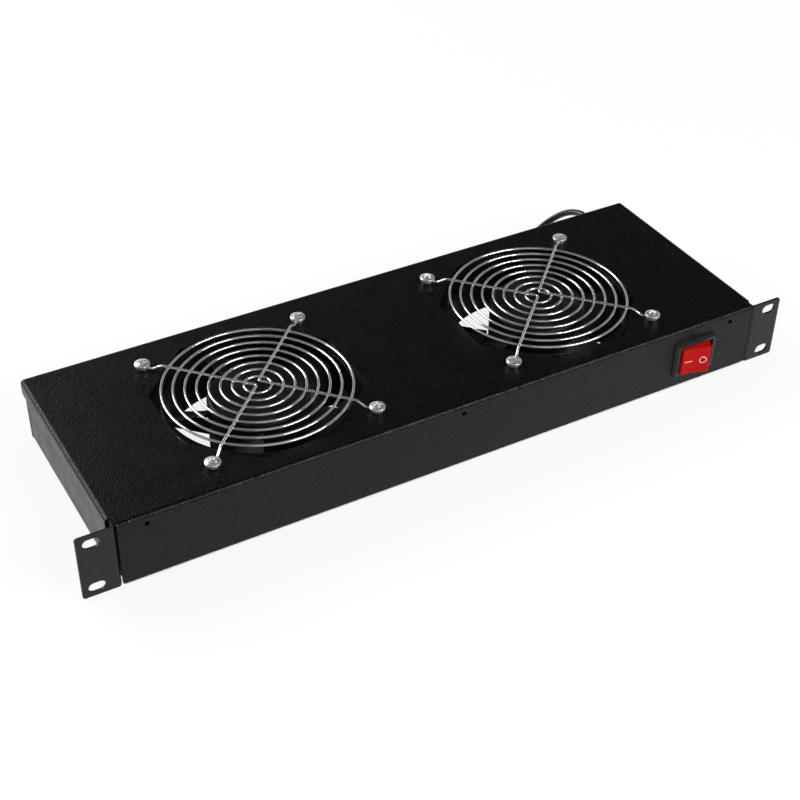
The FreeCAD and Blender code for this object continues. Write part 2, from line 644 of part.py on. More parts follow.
def stator(name, sign):
    """Laminated four-pole core and its four coils, on the bearing tube."""
    low = f"({RING_MIDDLE} - core_height / 2)"
    high = f"({RING_MIDDLE} + core_height / 2)"
    bore = f"({TUBE_OUT} + slip_fit)"
    shoe_in = f"({CORE_OUT} - shoe_sheet)"
    yoke = f"({bore} + core_ring)"
    pole = "(pole_width / 2)"
    reach = f"({CORE_OUT} - shoe_sheet / 2)"
    gap = "(shoe_gap / 2)"
    slots = fuse(block((f"-{CORE_OUT}", f"-{gap}", low), (CORE_OUT, gap, high)),
                 block((f"-{gap}", f"-{CORE_OUT}", low), (gap, CORE_OUT, high)))
    shoes = cut(ring(CORE_OUT, shoe_in, low, high), turn(slots, (0, 0, 1), 45))
    poles = fuse(block((f"-{reach}", f"-{pole}", low), (reach, pole, high)),
                 block((f"-{pole}", f"-{reach}", low), (pole, reach, high)),
                 rod(yoke, low, high), shoes)
    core = cut(poles, rod(bore, f"{low} - {SPARE}", f"{high} + {SPARE}"))
    node(at_fan(core, sign), f"stator_core_{name}")

    coils = []
    inner = f"({pole} + coil_fit)"
    for quarter in range(4):
        ends = (f"{yoke} + coil_fit", f"sqrt(({shoe_in} - coil_fit) ^ 2 - ({inner} + coil_build) ^ 2)")
        wound = block((ends[0], f"-{inner} - coil_build", f"{low} - coil_fit - coil_build"),
                      (ends[1], f"{inner} + coil_build", f"{high} + coil_fit + coil_build"))
        window = block((f"{ends[0]} - {SPARE}", f"-{inner}", f"{low} - coil_fit"),
                       (f"{ends[1]} + {SPARE}", inner, f"{high} + coil_fit"))
        coils.append(turn(cut(wound, window), (0, 0, 1), 90 * quarter))
    node(at_fan(group(coils), sign), f"stator_coils_{name}")


def bearings(name, sign):
    outer = "bearing_outer / 2"
    inner = "shaft_diameter / 2 + shaft_play"
    lower = ring(outer, inner, BEARING_LOW, f"{BEARING_LOW} + bearing_width")
    upper = ring(outer, inner, f"{TUBE_TOP} - bearing_width", TUBE_TOP)
    node(at_fan(group((lower, upper)), sign), f"fan_bearings_{name}")


def fan_terminals(name, sign):
    """Two flat pins that stand out of the frame's terminal holder."""
    y = f"({HOLDER_IN} + holder_width / 2)"
    pins = []
    for up in (-1, 1):
        z = f"({HOLDER_Z} + {up} * pin_spacing / 2)"
        pins.append(block((f"{HOLDER_IN} + holder_width", f"{y} - pin_width / 2", f"{z} - pin_sheet / 2"),
                          (f"{HOLDER_IN} + holder_width + pin_length", f"{y} + pin_width / 2",
                           f"{z} + pin_sheet / 2")))
    node(at_fan(group(pins), sign), f"fan_terminals_{name}")


def blade_section(radius, pitch):
    """A thin cambered section on a plane square to the blade's radius."""
    drop = size("blade_drop")
    chord = (drop - size("blade_sheet")) / math.sin(math.radians(pitch))
    bow = 0.07 * chord
    thick = size("blade_sheet") / 2
    edge = thick / 3
    middle = -size("blade_top") - drop / 2
    slant = math.radians(pitch)

    def spot(along, out):
        across = along * math.cos(slant) - out * math.sin(slant)
        rise = along * math.sin(slant) + out * math.cos(slant)
        return Vector(radius, across, middle + rise)

    tail_low, tail_high = spot(-chord / 2, -edge), spot(-chord / 2, edge)
    nose_low, nose_high = spot(chord / 2, -edge), spot(chord / 2, edge)
    edges = (Part.LineSegment(tail_low, tail_high), Part.Arc(tail_high, spot(0, bow + thick), nose_high),
             Part.LineSegment(nose_high, nose_low), Part.Arc(nose_low, spot(0, bow - thick), tail_low))
    return Part.Wire([edge.toShape() for edge in edges])


def impeller(name, sign):
    """Hub cup with twisted, cambered blades, on the steel ring and shaft of the rotor."""
    hub_radius = size("hub_diameter") / 2
    tip_radius = size("duct_diameter") / 2 - size("tip_gap")
    wall = size("hub_wall")
    top = -size("hub_recess")
    foot = -size("fan_depth") + size("base_sheet") + size("hub_gap")
    ring_middle = foot + size("axial_play") + size("ring_height") / 2
    tube_top = ring_middle + size("core_height") / 2 + size("coil_build") + size("coil_fit")
    boss_foot = tube_top + size("axial_play")
    cup = Part.makeCylinder(hub_radius, top - foot, Vector(0, 0, foot))
    rim = [edge for edge in cup.Edges if near(edge.BoundBox.ZMin, top)]
    cup = cup.makeFillet(wall * 0.8, rim)
    cup = cup.cut(Part.makeCylinder(hub_radius - wall, top - wall - foot, Vector(0, 0, foot)))
    boss = Part.makeCylinder(size("boss_diameter") / 2, top - wall / 2 - boss_foot, Vector(0, 0, boss_foot))
    bore = Part.makeCylinder(size("shaft_diameter") / 2 + size("slip_fit") / 2, top - wall / 2 - boss_foot,
                             Vector(0, 0, boss_foot))
    root = hub_radius * 0.85
    stations = [root + (tip_radius + 2 - root) * share for share in (0, 1 / 3, 2 / 3, 1)]
    pitches = [size("root_pitch") + (size("tip_pitch") - size("root_pitch")) * share
               for share in (0, 0.45, 0.78, 1)]
    sections = [blade_section(radius, pitch) for radius, pitch in zip(stations, pitches)]
    blade = Part.makeLoft(sections, True, False)
    depth = size("fan_depth")
    blade = blade.common(Part.makeCylinder(tip_radius, depth, Vector(0, 0, -depth)))
    blade = blade.cut(Part.makeCylinder(hub_radius - wall / 2, depth, Vector(0, 0, -depth)))
    blades = []
    for k in range(int(size("blade_count"))):
        copy = blade.copy()
        copy.rotate(Vector(0, 0, 0), Vector(0, 0, 1), 360 * k / size("blade_count"))
        blades.append(copy)
    wheel = cup.fuse([boss] + blades).cut(bore).removeSplitter()
    turned = turn(solid(wheel, "wheel"), (0, 0, 1), 1)
    turned.setExpression("Placement.Rotation.Angle", cells(f"rest_{name}"))
    node(at_fan(turned, sign), f"impeller_{name}")

    cage = ring(RING_OUT, f"{CORE_OUT} + air_gap", RING_LOW, f"{RING_LOW} + ring_height")
    node(at_fan(cage, sign), f"rotor_ring_{name}")
    clip_top = f"({BEARING_LOW} - axial_play)"
    shaft_foot = f"({clip_top} - clip_sheet - axial_play)"
    shaft = rod("shaft_diameter / 2", shaft_foot, f"{HUB_TOP} - hub_wall / 2 - slip_fit")
    node(at_fan(group((shaft,)), sign), f"rotor_shaft_{name}")
    clip = ring("clip_diameter / 2", "shaft_diameter / 2 + slip_fit / 2", f"{clip_top} - clip_sheet", clip_top)
    node(at_fan(clip, sign), f"shaft_clip_{name}")


def finger_guard(name, sign):
    """Eight rings under two V-shaped support wires, which step down to an eye at each screw."""
    wire = "wire_diameter / 2"
    hoops = [hoop(f"ring_first + {k} * ring_step", wire, z="guard_rise")
             for k in range(int(size("ring_count")))]
    eye = "(screw_diameter / 2 + eye_play + wire_diameter / 2)"
    for across in (-1, 1):
        for along in (-1, 1):
            hoops.append(hoop(eye, wire, f"{across} * screw_square / 2", f"{along} * screw_square / 2", wire))
    low = size("wire_diameter") / 2
    high = size("guard_rise") + size("wire_diameter") - size("weld_bite")
    eye_radius = size("screw_diameter") / 2 + size("eye_play") + low
    corner = size("screw_square") / 2
    for across in (-1, 1):
        vertex = Vector(across * size("vee_offset"), across * size("vee_skew"), high)
        arms = []
        for along in (-1, 1):
            seat = Vector(across * corner, along * corner, low)
            inward = Vector(vertex.x - seat.x, vertex.y - seat.y, 0).normalize()
            knee = seat + inward * (eye_radius + size("joggle_start"))
            shoulder = knee + inward * size("joggle_reach") + Vector(0, 0, high - low)
            arms.append([seat + inward * eye_radius, knee, shoulder])
        route = arms[0] + [vertex] + arms[1][::-1]
        hoops.append(solid(tube(route, size("wire_diameter"), size("vee_bend")), "support_wire"))
    guard = place(fuse(*hoops), f"{sign} * fan_pitch / 2", FAN_Y, DECK_TOP)
    node(guard, f"finger_guard_{name}")


def guard_fasteners():
    """Pan-headed screws through guard, deck and fan flange, each with a lock washer and a nut below."""
    seat = f"({DECK_TOP} + wire_diameter)"
    flange = f"({DECK_UNDER} - flange_sheet)"
    washer = f"({flange} - washer_sheet)"
    nut = f"({washer} - nut_height)"
    crown = "(screw_rise - screw_side)"
    dome = f"((screw_head ^ 2 / 4 + {crown} ^ 2) / (2 * {crown}))"
    screws, washers, nuts = [], [], []
    for x, y in screw_places():
        ball = bind(doc.addObject("Part::Sphere", "ball"), Radius=dome)
        place(ball, x, y, f"{seat} + screw_rise - {dome}")
        head = overlap(ball, rod("screw_head / 2", seat, f"{seat} + screw_rise", x, y))
        shank = rod("screw_diameter / 2", f"{nut} - screw_spare", f"{seat} + screw_rise / 3", x, y)
        screws.append(fuse(head, shank))
        bore = "screw_diameter / 2 + slip_fit"
        washers.append(ring("washer_diameter / 2", bore, washer, flange, x, y))
        hole = rod(bore, f"{nut} - {SPARE}", f"{washer} + {SPARE}", x, y)
        nuts.append(cut(hexagon("nut_flats", nut, washer, x, y), hole))
    node(group(screws), "guard_screws")
    node(group(washers), "lock_washers")
    node(group(nuts), "fan_nuts")


ROCKER_HALF = "(neck_height / 2 - rocker_wall)"
RECESS_HALF = "(neck_width / 2 - recess_wall)"


def at_switch(item, y=PANEL_FACE):
    return place(item, "switch_offset", y, SWITCH_Z)


def rocker_switch():
    """Snap-in rocker switch: sloped bezel, hollow body, rocker on two pivot pins, four terminals."""
    switch = body("switch")
    bezel = sketch(switch, "XZ_Plane")
    across, up = "(neck_width / 2 + bezel_lap)", "(neck_height / 2 + bezel_lap)"
    rectangle(bezel, f"-{across}", across, f"-{up}", up)
    pad(switch, bezel, "bezel_rise", slope="-bezel_slope")
    neck = sketch(switch, "XZ_Plane")
    rectangle(neck, "-neck_width / 2", "neck_width / 2", "-neck_height / 2", "neck_height / 2")
    pad(switch, neck, "switch_depth", backwards=True)
    wings = sketch(switch, "XZ_Plane", "-deck_sheet - slip_fit")
    half = "(neck_width / 2 + wing_reach)"
    rectangle(wings, f"-{half}", half, "-wing_height / 2", "wing_height / 2")
    pad(switch, wings, "wing_length", backwards=True)
    recess = sketch(switch, "XZ_Plane", "bezel_rise")
    inside = f"({ROCKER_HALF} + rocker_play)"
    rectangle(recess, f"-{RECESS_HALF}", RECESS_HALF, f"-{inside}", inside)
    pocket(switch, recess, "bezel_rise + recess_depth")
    pivots = sketch(switch, "XY_Plane")
    circle(pivots, "pivot_diameter / 2 + shaft_play", "0", "pivot_depth")
    pocket(switch, pivots, f"2 * ({ROCKER_HALF} + pivot_reach + slip_fit)", both_ways=True)
    node(at_switch(switch), "switch_body")

    rocker = body("rocker")
    side = sketch(rocker, "XY_Plane")
    face = f"({RECESS_HALF} - rocker_inset)"
    foot = f"({RECESS_HALF} - rocker_sweep)"
    tail = f"({RECESS_HALF} / 3)"
    polygon(side, (f"-{face}", "-rocker_reach"), (f"-{face} / 3", "-rocker_reach + rocker_dish"),
            (f"{face} / 3", "-rocker_reach + rocker_dish"), (face, "-rocker_reach"),
            (foot, "-pivot_diameter / 2"), (tail, "rocker_tail"), (f"-{tail}", "rocker_tail"),
            (f"-{foot}", "-pivot_diameter / 2"))
    pad(rocker, side, f"2 * {ROCKER_HALF}", both_ways=True)
    reach = -size("rocker_reach")
    fillet(rocker, "rocker_round", lambda edge: level(edge, "z") is None and near(level(edge, "y"), reach))
    pins = sketch(rocker, "XY_Plane")
    circle(pins, "pivot_diameter / 2")
    pad(rocker, pins, f"2 * ({ROCKER_HALF} + pivot_reach)", both_ways=True)
    turn(rocker, (0, 0, -1), 1)
    rocker.setExpression("Placement.Rotation.Angle", cells("rocker_tilt"))
    node(at_switch(rocker, f"{PANEL_FACE} + pivot_depth"), "switch_rocker")

    tabs = []
    for x, z in tab_places():
        tabs.append(block((f"{x} - tab_width / 2", "switch_depth", f"{z} - tab_sheet / 2"),
                          (f"{x} + tab_width / 2", "switch_depth + tab_length", f"{z} + tab_sheet / 2")))
    node(at_switch(group(tabs)), "switch_terminals")


def tab_places():
    """The four switch terminals about the switch's axis."""
    return [(f"{across} * tab_spread_x / 2", f"{up} * tab_spread_z / 2")
            for across in (-1, 1) for up in (-1, 1)]


def spade_sleeves():
    """Insulated push-on sleeves over the terminals of the switch and of both fans."""
    sleeves = []
    for x, z in tab_places():
        half = ("(tab_width / 2 + sleeve_fit)", "(tab_sheet / 2 + sleeve_fit)")
        start = "switch_depth + slip_fit"
        shell = block((f"{x} - {half[0]} - sleeve_wall", start, f"{z} - {half[1]} - sleeve_wall"),
                      (f"{x} + {half[0]} + sleeve_wall", f"{start} + sleeve_length",
                       f"{z} + {half[1]} + sleeve_wall"))
        room = block((f"{x} - {half[0]}", "switch_depth - slip_fit", f"{z} - {half[1]}"),
                     (f"{x} + {half[0]}", "switch_depth + tab_length + sleeve_fit", f"{z} + {half[1]}"))
        sleeves.append(at_switch(cut(shell, room)))
    for name, sign in SIDES:
        for up in (-1, 1):
            y = f"({HOLDER_IN} + holder_width / 2)"
            z = f"({HOLDER_Z} + {up} * pin_spacing / 2)"
            half = ("(pin_width / 2 + sleeve_fit)", "(pin_sheet / 2 + sleeve_fit)")
            start = f"({HOLDER_IN} + holder_width + slip_fit)"
            shell = block((start, f"{y} - {half[0]} - sleeve_wall", f"{z} - {half[1]} - sleeve_wall"),
                          (f"{start} + sleeve_length", f"{y} + {half[0]} + sleeve_wall",
                           f"{z} + {half[1]} + sleeve_wall"))
            room = block((f"{start} - 2 * slip_fit", f"{y} - {half[0]}", f"{z} - {half[1]}"),
                         (f"{start} + pin_length + sleeve_fit", f"{y} + {half[0]}", f"{z} + {half[1]}"))
            sleeves.append(at_fan(cut(shell, room), sign))
    node(group(sleeves), "spade_sleeves")


def wiring():
    """Leads between cord, switch and fans, the earth lead with its stud, and the lead clips."""
    core = size("core_diameter")
    under = amount(DECK_UNDER)
    cord = Vector(amount(CORD_X), amount(REAR_INSIDE) - size("cord_tuck"), size("cord_rise"))
    switch_back = amount(f"{PANEL_FACE} + switch_depth + slip_fit + sleeve_length")
    tab_x = size("tab_spread_x") / 2
    tab_z = size("tab_spread_z") / 2
    aside = Vector(core * 0.6, 0, 0)

    def tab(across, up, step=0):
        return Vector(size("switch_offset") + across * tab_x + step, switch_back,
                      up * tab_z - size("switch_drop"))

    supply = []
    for across in (-1, 1):
        start = cord + Vector(across * core * 0.55, 0, -core * 0.33)
        end = tab(across, 1)
        route = (start, start + Vector(0, -26, 0), end + Vector(8, 40, 0), end + Vector(0, 20, 0), end)
        supply.append(solid(tube(route, core), "core"))
    node(group(supply), "supply_leads")

    sleeve_end = amount(f"{HOLDER_IN} + holder_width + slip_fit + sleeve_length")
    pin_y = amount(f"{FAN_Y} + {HOLDER_IN} + holder_width / 2")
    lane = amount(LANE)
    height = under - size("clip_wall") - core
    lead_x = {}
    for name, sign in SIDES:
        cores = []
        for up in (-1, 1):
            pin = Vector(sign * size("fan_pitch") / 2 + sleeve_end, pin_y,
                         under - size("fan_depth") / 2 + up * size("pin_spacing") / 2)
            end = tab(up, -1, sign * core * 0.6)
            if sign > 0:
                route = (pin, pin + Vector(9, 0, 0), end + Vector(3 - 4 * up, 52, 2),
                         end + Vector(0, 18, 0), end)
            else:
                run = Vector(0, lane - up * core * 0.6, height)
                lead_x["start"] = pin.x + 30
                lead_x["end"] = size("fan_pitch") / 2 + size("fan_size") / 2 - 12
                far = Vector(lead_x["end"] + 34, lane - 24, height / 2)
                route = (pin, pin + Vector(9, 0, 0), run + Vector(lead_x["start"], 0, 0),
                         run + Vector(lead_x["end"], 0, 0), far + aside * up, end + Vector(-2, 30, 2),
                         end + Vector(0, 13, 0), end)
            cores.append(solid(tube(route, core), "core"))
        node(group(cores), f"fan_leads_{name}")

    clips = []
    half = "(1.1 * core_diameter + sleeve_fit)"
    room_foot = f"({DECK_UNDER} - clip_wall - 1.5 * core_diameter - sleeve_fit)"
    for step in (-1, 0, 1):
        x = f"(fan_pitch * 0.36 + {step} * clip_pitch)"
        shell = block((f"{x} - clip_width / 2", f"{LANE} - {half} - clip_wall", f"{room_foot} - clip_wall"),
                      (f"{x} + clip_width / 2", f"{LANE} + {half} + clip_wall", DECK_UNDER))
        room = block((f"{x} - clip_width", f"{LANE} - {half}", room_foot),
                     (f"{x} + clip_width", f"{LANE} + {half}", f"{DECK_UNDER} - clip_wall"))
        clips.append(cut(shell, room))
    node(group(clips), "lead_clips")

    stud = rod("stud_diameter / 2", f"{DECK_UNDER} - stud_length", DECK_UNDER, STUD_X, STUD_Y)
    node(stud, "earth_stud")
    nut_top = f"({DECK_UNDER} - lug_sheet)"
    bore = "stud_diameter / 2 + slip_fit"
    lug = ring("lug_diameter / 2", bore, nut_top, DECK_UNDER, STUD_X, STUD_Y)
    node(lug, "earth_lug")
    nut = hexagon("nut_flats", f"{nut_top} - nut_height", nut_top, STUD_X, STUD_Y)
    hole = rod(bore, f"{nut_top} - nut_height - {SPARE}", f"{nut_top} + {SPARE}", STUD_X, STUD_Y)
    node(cut(nut, hole), "earth_nut")
    start = cord + Vector(0, 0, core * 0.6)
    lug_edge = Vector(amount(f"{STUD_X} + lug_diameter / 2 + core_diameter / 2"), amount(STUD_Y),
                      under - core / 2)
    route = (start, start + Vector(0, -8, 0), lug_edge + Vector(9, 0, -9),
             lug_edge + Vector(6, 0, -0.4), lug_edge)
    node(solid(tube(route, core), "earth_lead"), "earth_lead")


def cord_bushing():
    """Strain relief in the rear flange: barrel with a catch, head and tapered sleeve."""
    inside = "(-deck_sheet - bushing_inside)"
    barrel = rod("bushing_barrel / 2", inside, "0")
    catch = rod("bushing_barrel / 2 + bushing_catch", inside, "-deck_sheet - slip_fit")
    head = rod("bushing_head / 2", "0", "bushing_rim")
    thin = "(cord_diameter / 2 + slip_fit + taper_wall)"
    sleeve = taper("bushing_barrel / 2", thin, "bushing_rim", "bushing_rim + bushing_taper")
    bore = rod("cord_diameter / 2 + slip_fit", f"{inside} - {SPARE}", f"bushing_rim + bushing_taper + {SPARE}")
    bushing = turn(cut(fuse(barrel, catch, head, sleeve), bore), (1, 0, 0), -90)
    node(place(bushing, CORD_X, REAR_FACE, "cord_rise"), "cord_bushing")


# The put-away cord lies on the floor behind the tray.
HANK_HALF = "(hank_fold + (hank_wide - 0.5) * cord_diameter)"
HANK_Y = f"({REAR_FACE} + hank_gap + {HANK_HALF})"
PLUG_Y = f"({REAR_FACE} + plug_setback)"
PLUG_Z = f"({FLOOR} + plug_height / 2)"


def power_cord():
    """Cord jacket in the bushing, then the cord to its hank, and from the hank to the plug."""
    jacket = rod("cord_diameter / 2", "-deck_sheet - cord_tuck", "cord_start")
    jacket = turn(group((jacket,)), (1, 0, 0), -90)
    node(place(jacket, CORD_X, REAR_FACE, "cord_rise"), "cord_jacket")
    diameter = size("cord_diameter")
    ground = amount(FLOOR) + diameter / 2
    above = ground + diameter
    x, y, z = amount(CORD_X), amount(REAR_FACE) + size("cord_start"), size("cord_rise")
    run_y = amount(f"{HANK_Y} + {HANK_HALF}") - diameter / 2
    lead = [Vector(x, y, z), Vector(x, y + 8.7, z), Vector(x, y + 20.7, z - 0.2),
            Vector(x - 5.9, y + 30.9, z - 3.8), Vector(x - 16.1, run_y + 2.2, z - 11.8),
            Vector(x - 27.9, run_y + 2.2, z - 18.8), Vector(x - 40.2, run_y + 1.6, ground + 0.3),
            Vector(x - 53, run_y + 0.6, ground), Vector(x - 65.5, run_y + 0.1, ground)]
    node(solid(tube(lead, diameter, told="power cord"), "lead"), "power_cord")
    axis_y, axis_z = amount(PLUG_Y), amount(PLUG_Z)
    tip = amount("plug_offset + plug_taper")
    tail = [Vector(tip + 104, run_y - 0.3, above), Vector(tip + 87, run_y + 0.1, above),
            Vector(tip + 70, run_y - 0.9, above - 0.3), Vector(tip + 54, run_y - 5.4, ground + 2.3),
            Vector(tip + 40, run_y - 13.4, ground), Vector(tip + 25, axis_y + 4.2, ground + 1),
            Vector(tip + 9, axis_y, axis_z), Vector(tip - 7, axis_y, axis_z)]
    node(solid(tube(tail, diameter, told="cord tail"), "tail"), "cord_tail")


def cord_hank():
    """Outer shape of the folded cord, and the tie round its front runs."""
    def slot(radius, low, high):
        run = "hank_run / 2"
        return fuse(block((f"-{run}", f"-{radius}", low), (run, radius, high)),
                    rod(radius, low, high, f"-{run}"), rod(radius, low, high, run))

    top = "hank_layers * cord_diameter"
    inner = "(hank_fold - cord_diameter / 2)"
    hank = cut(slot(HANK_HALF, "0", top), slot(inner, f"-{SPARE}", f"{top} + {SPARE}"))
    node(place(hank, "hank_offset", HANK_Y, FLOOR), "cord_hank")
    front = f"(-{HANK_HALF} - tie_fit)"
    back = f"(-{HANK_HALF} + hank_wide * cord_diameter + tie_fit)"
    ties = block(("-tie_width / 2", f"{front} - tie_sheet", "0"),
                 ("tie_width / 2", f"{back} + tie_sheet", f"{top} + tie_fit + tie_sheet"))
    room = block((f"-tie_width / 2 - {SPARE}", front, f"-{SPARE}"),
                 (f"tie_width / 2 + {SPARE}", back, f"{top} + tie_fit"))
    node(place(cut(ties, room), "hank_offset", HANK_Y, FLOOR), "cord_tie")


def power_plug():
    """Moulded plug: grip with a tapered sleeve, hollow shroud and three flat pins."""
    grip = block(("-grip_length", "-plug_width / 2", "-plug_height / 2"),
                 ("0", "plug_width / 2", "plug_height / 2"))
    shroud = block(("-grip_length - shroud_length", "-shroud_width / 2", "-shroud_height / 2"),
                   ("-grip_length", "shroud_width / 2", "shroud_height / 2"))
    mouth = block((f"-grip_length - shroud_length - {SPARE}", "-shroud_width / 2 + shroud_wall",
                   "-shroud_height / 2 + shroud_wall"),
                  ("-grip_length", "shroud_width / 2 - shroud_wall", "shroud_height / 2 - shroud_wall"))
    thin = "(cord_diameter / 2 + slip_fit + taper_wall)"
    sleeve = turn(taper("plug_height / 3", thin, "0", "plug_taper"), (0, 1, 0), 90)
    bore = turn(rod("cord_diameter / 2 + slip_fit", "0", f"plug_taper + {SPARE}"), (0, 1, 0), 90)
    plug = cut(fuse(grip, shroud, sleeve), mouth, bore)
    node(place(plug, "plug_offset", PLUG_Y, PLUG_Z), "power_plug")
    pins = []
    for across in (-1, 0, 1):
        y = f"({across} * blade_spread / 2)"
        z = "(blade_step / 2)" if across == 0 else "(-blade_step / 2)"
        pins.append(block(("-grip_length - blade_length", f"{y} - blade_thick / 2", f"{z} - blade_width / 2"),
                          ("-grip_length", f"{y} + blade_thick / 2", f"{z} + blade_width / 2")))
    node(place(group(pins), "plug_offset", PLUG_Y, PLUG_Z), "plug_pins")


def check():
    """Stops where anything failed, is empty or broken, or a cut took nothing away."""
    for item in doc.Objects:
        if {"Invalid", "Error"} & set(item.State):
            raise RuntimeError(f"{item.Name} failed: {item.State}")
        if item.TypeId == "PartDesign::Pocket" and item.Shape.Volume > item.BaseFeature.Shape.Volume - 1e-3:
            raise RuntimeError(f"{item.Name} cuts nothing")
    for item in nodes:
        if item.Shape.isNull() or not item.Shape.isValid() or not item.Shape.Solids:
            raise RuntimeError(f"{item.Label} has no sound shape")


tray_deck()
for side_name, side_sign in SIDES:
    ear_bracket(side_name, side_sign)
    fan_frame(side_name, side_sign)
    stator(side_name, side_sign)
    bearings(side_name, side_sign)
    fan_terminals(side_name, side_sign)
    impeller(side_name, side_sign)
    finger_guard(side_name, side_sign)
guard_fasteners()
rocker_switch()
spade_sleeves()
wiring()
cord_bushing()
power_cord()
cord_hank()
power_plug()
doc.recompute()
check()
os.makedirs("parts", exist_ok=True)
for item in nodes:
    item.Shape.exportStep(f"parts/{item.Label}.step")
print(f"{len(nodes)} nodes written")
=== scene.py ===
import json
import math
import bmesh
import bpy
from mathutils import Matrix, Vector


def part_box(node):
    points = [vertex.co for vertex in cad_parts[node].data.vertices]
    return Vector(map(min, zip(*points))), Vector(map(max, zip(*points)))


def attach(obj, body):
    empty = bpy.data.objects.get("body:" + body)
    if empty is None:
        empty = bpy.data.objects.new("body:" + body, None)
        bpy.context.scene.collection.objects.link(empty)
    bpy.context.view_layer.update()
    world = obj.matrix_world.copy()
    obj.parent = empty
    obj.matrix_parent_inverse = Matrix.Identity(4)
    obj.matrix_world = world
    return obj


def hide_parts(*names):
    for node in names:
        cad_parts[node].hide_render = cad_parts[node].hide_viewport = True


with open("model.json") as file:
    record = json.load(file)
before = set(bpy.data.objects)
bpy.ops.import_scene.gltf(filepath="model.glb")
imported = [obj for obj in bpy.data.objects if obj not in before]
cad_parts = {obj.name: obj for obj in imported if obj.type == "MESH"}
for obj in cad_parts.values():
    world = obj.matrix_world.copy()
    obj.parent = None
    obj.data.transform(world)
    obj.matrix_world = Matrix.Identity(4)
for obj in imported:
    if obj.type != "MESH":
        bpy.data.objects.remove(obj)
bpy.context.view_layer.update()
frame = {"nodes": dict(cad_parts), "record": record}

nodes = frame["nodes"]
scene = bpy.context.scene
scene.view_settings.view_transform = "Standard"


def mm(*values):
    return tuple(value / 1000 for value in values)


def share(value):  # held between 0 and 1
    return max(0, min(1, value))


cameraSetup = {
    "place": mm(-387.618, -597.275, 574.982),
    "look": (0.39513868, 0.68518285, -0.61187407),
    "right": (0.87083008, -0.49143635, 0.01205294),
    "lens": 68.61,
    "sensor": 36,
    "farthest": 50,
}


def makeCamera(setup):
    data = bpy.data.cameras.new("photoCamera")
    data.lens = setup["lens"]
    data.sensor_width = setup["sensor"]
    data.clip_end = setup["farthest"]
    camera = bpy.data.objects.new("photoCamera", data)
    back = -Vector(setup["look"]).normalized()
    right = Vector(setup["right"]).normalized()
    up = back.cross(right).normalized()
    turn = Matrix((right, up, back)).transposed().to_4x4()
    camera.matrix_world = Matrix.Translation(setup["place"]) @ turn
    scene.collection.objects.link(camera)
    scene.camera = camera


makeCamera(cameraSetup)
print("camera set")


def startMaterial(name, color, roughness, metallic=0.0, specular=0.5):
    material = bpy.data.materials.new(name)
    material.use_nodes = True
    tree = material.node_tree
    shader = tree.nodes["Principled BSDF"]
    shader.inputs["Base Color"].default_value = (*color, 1)
    shader.inputs["Roughness"].default_value = roughness
    shader.inputs["Metallic"].default_value = metallic
    shader.inputs["Specular IOR Level"].default_value = specular
    return material, tree, shader


def addNode(tree, kind, **settings):
    node = tree.nodes.new(kind)
    for name, value in settings.items():
        if name in node.inputs:
            node.inputs[name].default_value = value
        else:
            setattr(node, name, value)
    return node


def noiseFrom(tree, scale, detail=2.0):
    noise = addNode(tree, "ShaderNodeTexNoise", Scale=scale, Detail=detail)
    tree.links.new(addNode(tree, "ShaderNodeTexCoord").outputs["Object"], noise.inputs["Vector"])
    return noise.outputs["Fac"]


def mapRange(tree, source, span, first, last):
    ramp = addNode(tree, "ShaderNodeMapRange")
    for name, value in zip(("From Min", "From Max", "To Min", "To Max"), (*span, first, last)):
        ramp.inputs[name].default_value = value
    tree.links.new(source, ramp.inputs["Value"])
    return ramp.outputs["Result"]


def colorTo(tree, source, socket, span, dark, light):
    ramp = addNode(tree, "ShaderNodeValToRGB")
    for stop, place, color in zip(ramp.color_ramp.elements, span, (dark, light)):
        stop.position = place
        stop.color = (*color, 1)
    tree.links.new(source, ramp.inputs["Fac"])
    tree.links.new(ramp.outputs["Color"], socket)


edgeSamples = 4


def bumpTo(tree, source, shader, strength, depth, soften=None):
    bump = addNode(tree, "ShaderNodeBump", Strength=strength, Distance=depth)
    tree.links.new(source, bump.inputs["Height"])
    if soften:  # sharp edges look rounded
        edge = addNode(tree, "ShaderNodeBevel", Radius=soften)
        edge.samples = edgeSamples
        tree.links.new(edge.outputs["Normal"], bump.inputs["Normal"])
    tree.links.new(bump.outputs["Normal"], shader.inputs["Normal"])


cloudSpan = (0.3, 0.7)                            # where a slow noise starts and stops to count
cloudDetail = 3.0

powderPlan = {"specks": (0.42, 0.75), "detail": 1.5, "cloud": 60, "drift": 0.05,
              "relief": 0.8, "edge": 0.0004}


def powderCoat(name, color, glint, roughness, grain, specular, depth):
    plan = powderPlan
    material, tree, shader = startMaterial(name, color, roughness, specular=specular)
    fine = noiseFrom(tree, grain, plan["detail"])
    colorTo(tree, fine, shader.inputs["Base Color"], plan["specks"], color, glint)
    gloss = mapRange(tree, noiseFrom(tree, plan["cloud"], cloudDetail), cloudSpan,
                     roughness - plan["drift"], roughness + plan["drift"])
    tree.links.new(gloss, shader.inputs["Roughness"])
    bumpTo(tree, fine, shader, plan["relief"], depth, plan["edge"])
    return material


platePlan = {"smooth": 0.7, "dull": 1.3, "shade": 0.9, "finer": 4, "relief": 0.08, "depth": 0.00005}


def platedMetal(name, color, roughness, streak, metallic=1.0):
    plan = platePlan
    material, tree, shader = startMaterial(name, color, roughness, metallic=metallic)
    cloud = noiseFrom(tree, streak, cloudDetail)
    gloss = mapRange(tree, cloud, cloudSpan, roughness * plan["smooth"], roughness * plan["dull"])
    tree.links.new(gloss, shader.inputs["Roughness"])
    dark = [channel * plan["shade"] for channel in color]
    colorTo(tree, cloud, shader.inputs["Base Color"], cloudSpan, dark, color)
    bumpTo(tree, noiseFrom(tree, streak * plan["finer"]), shader, plan["relief"], plan["depth"])
    return material


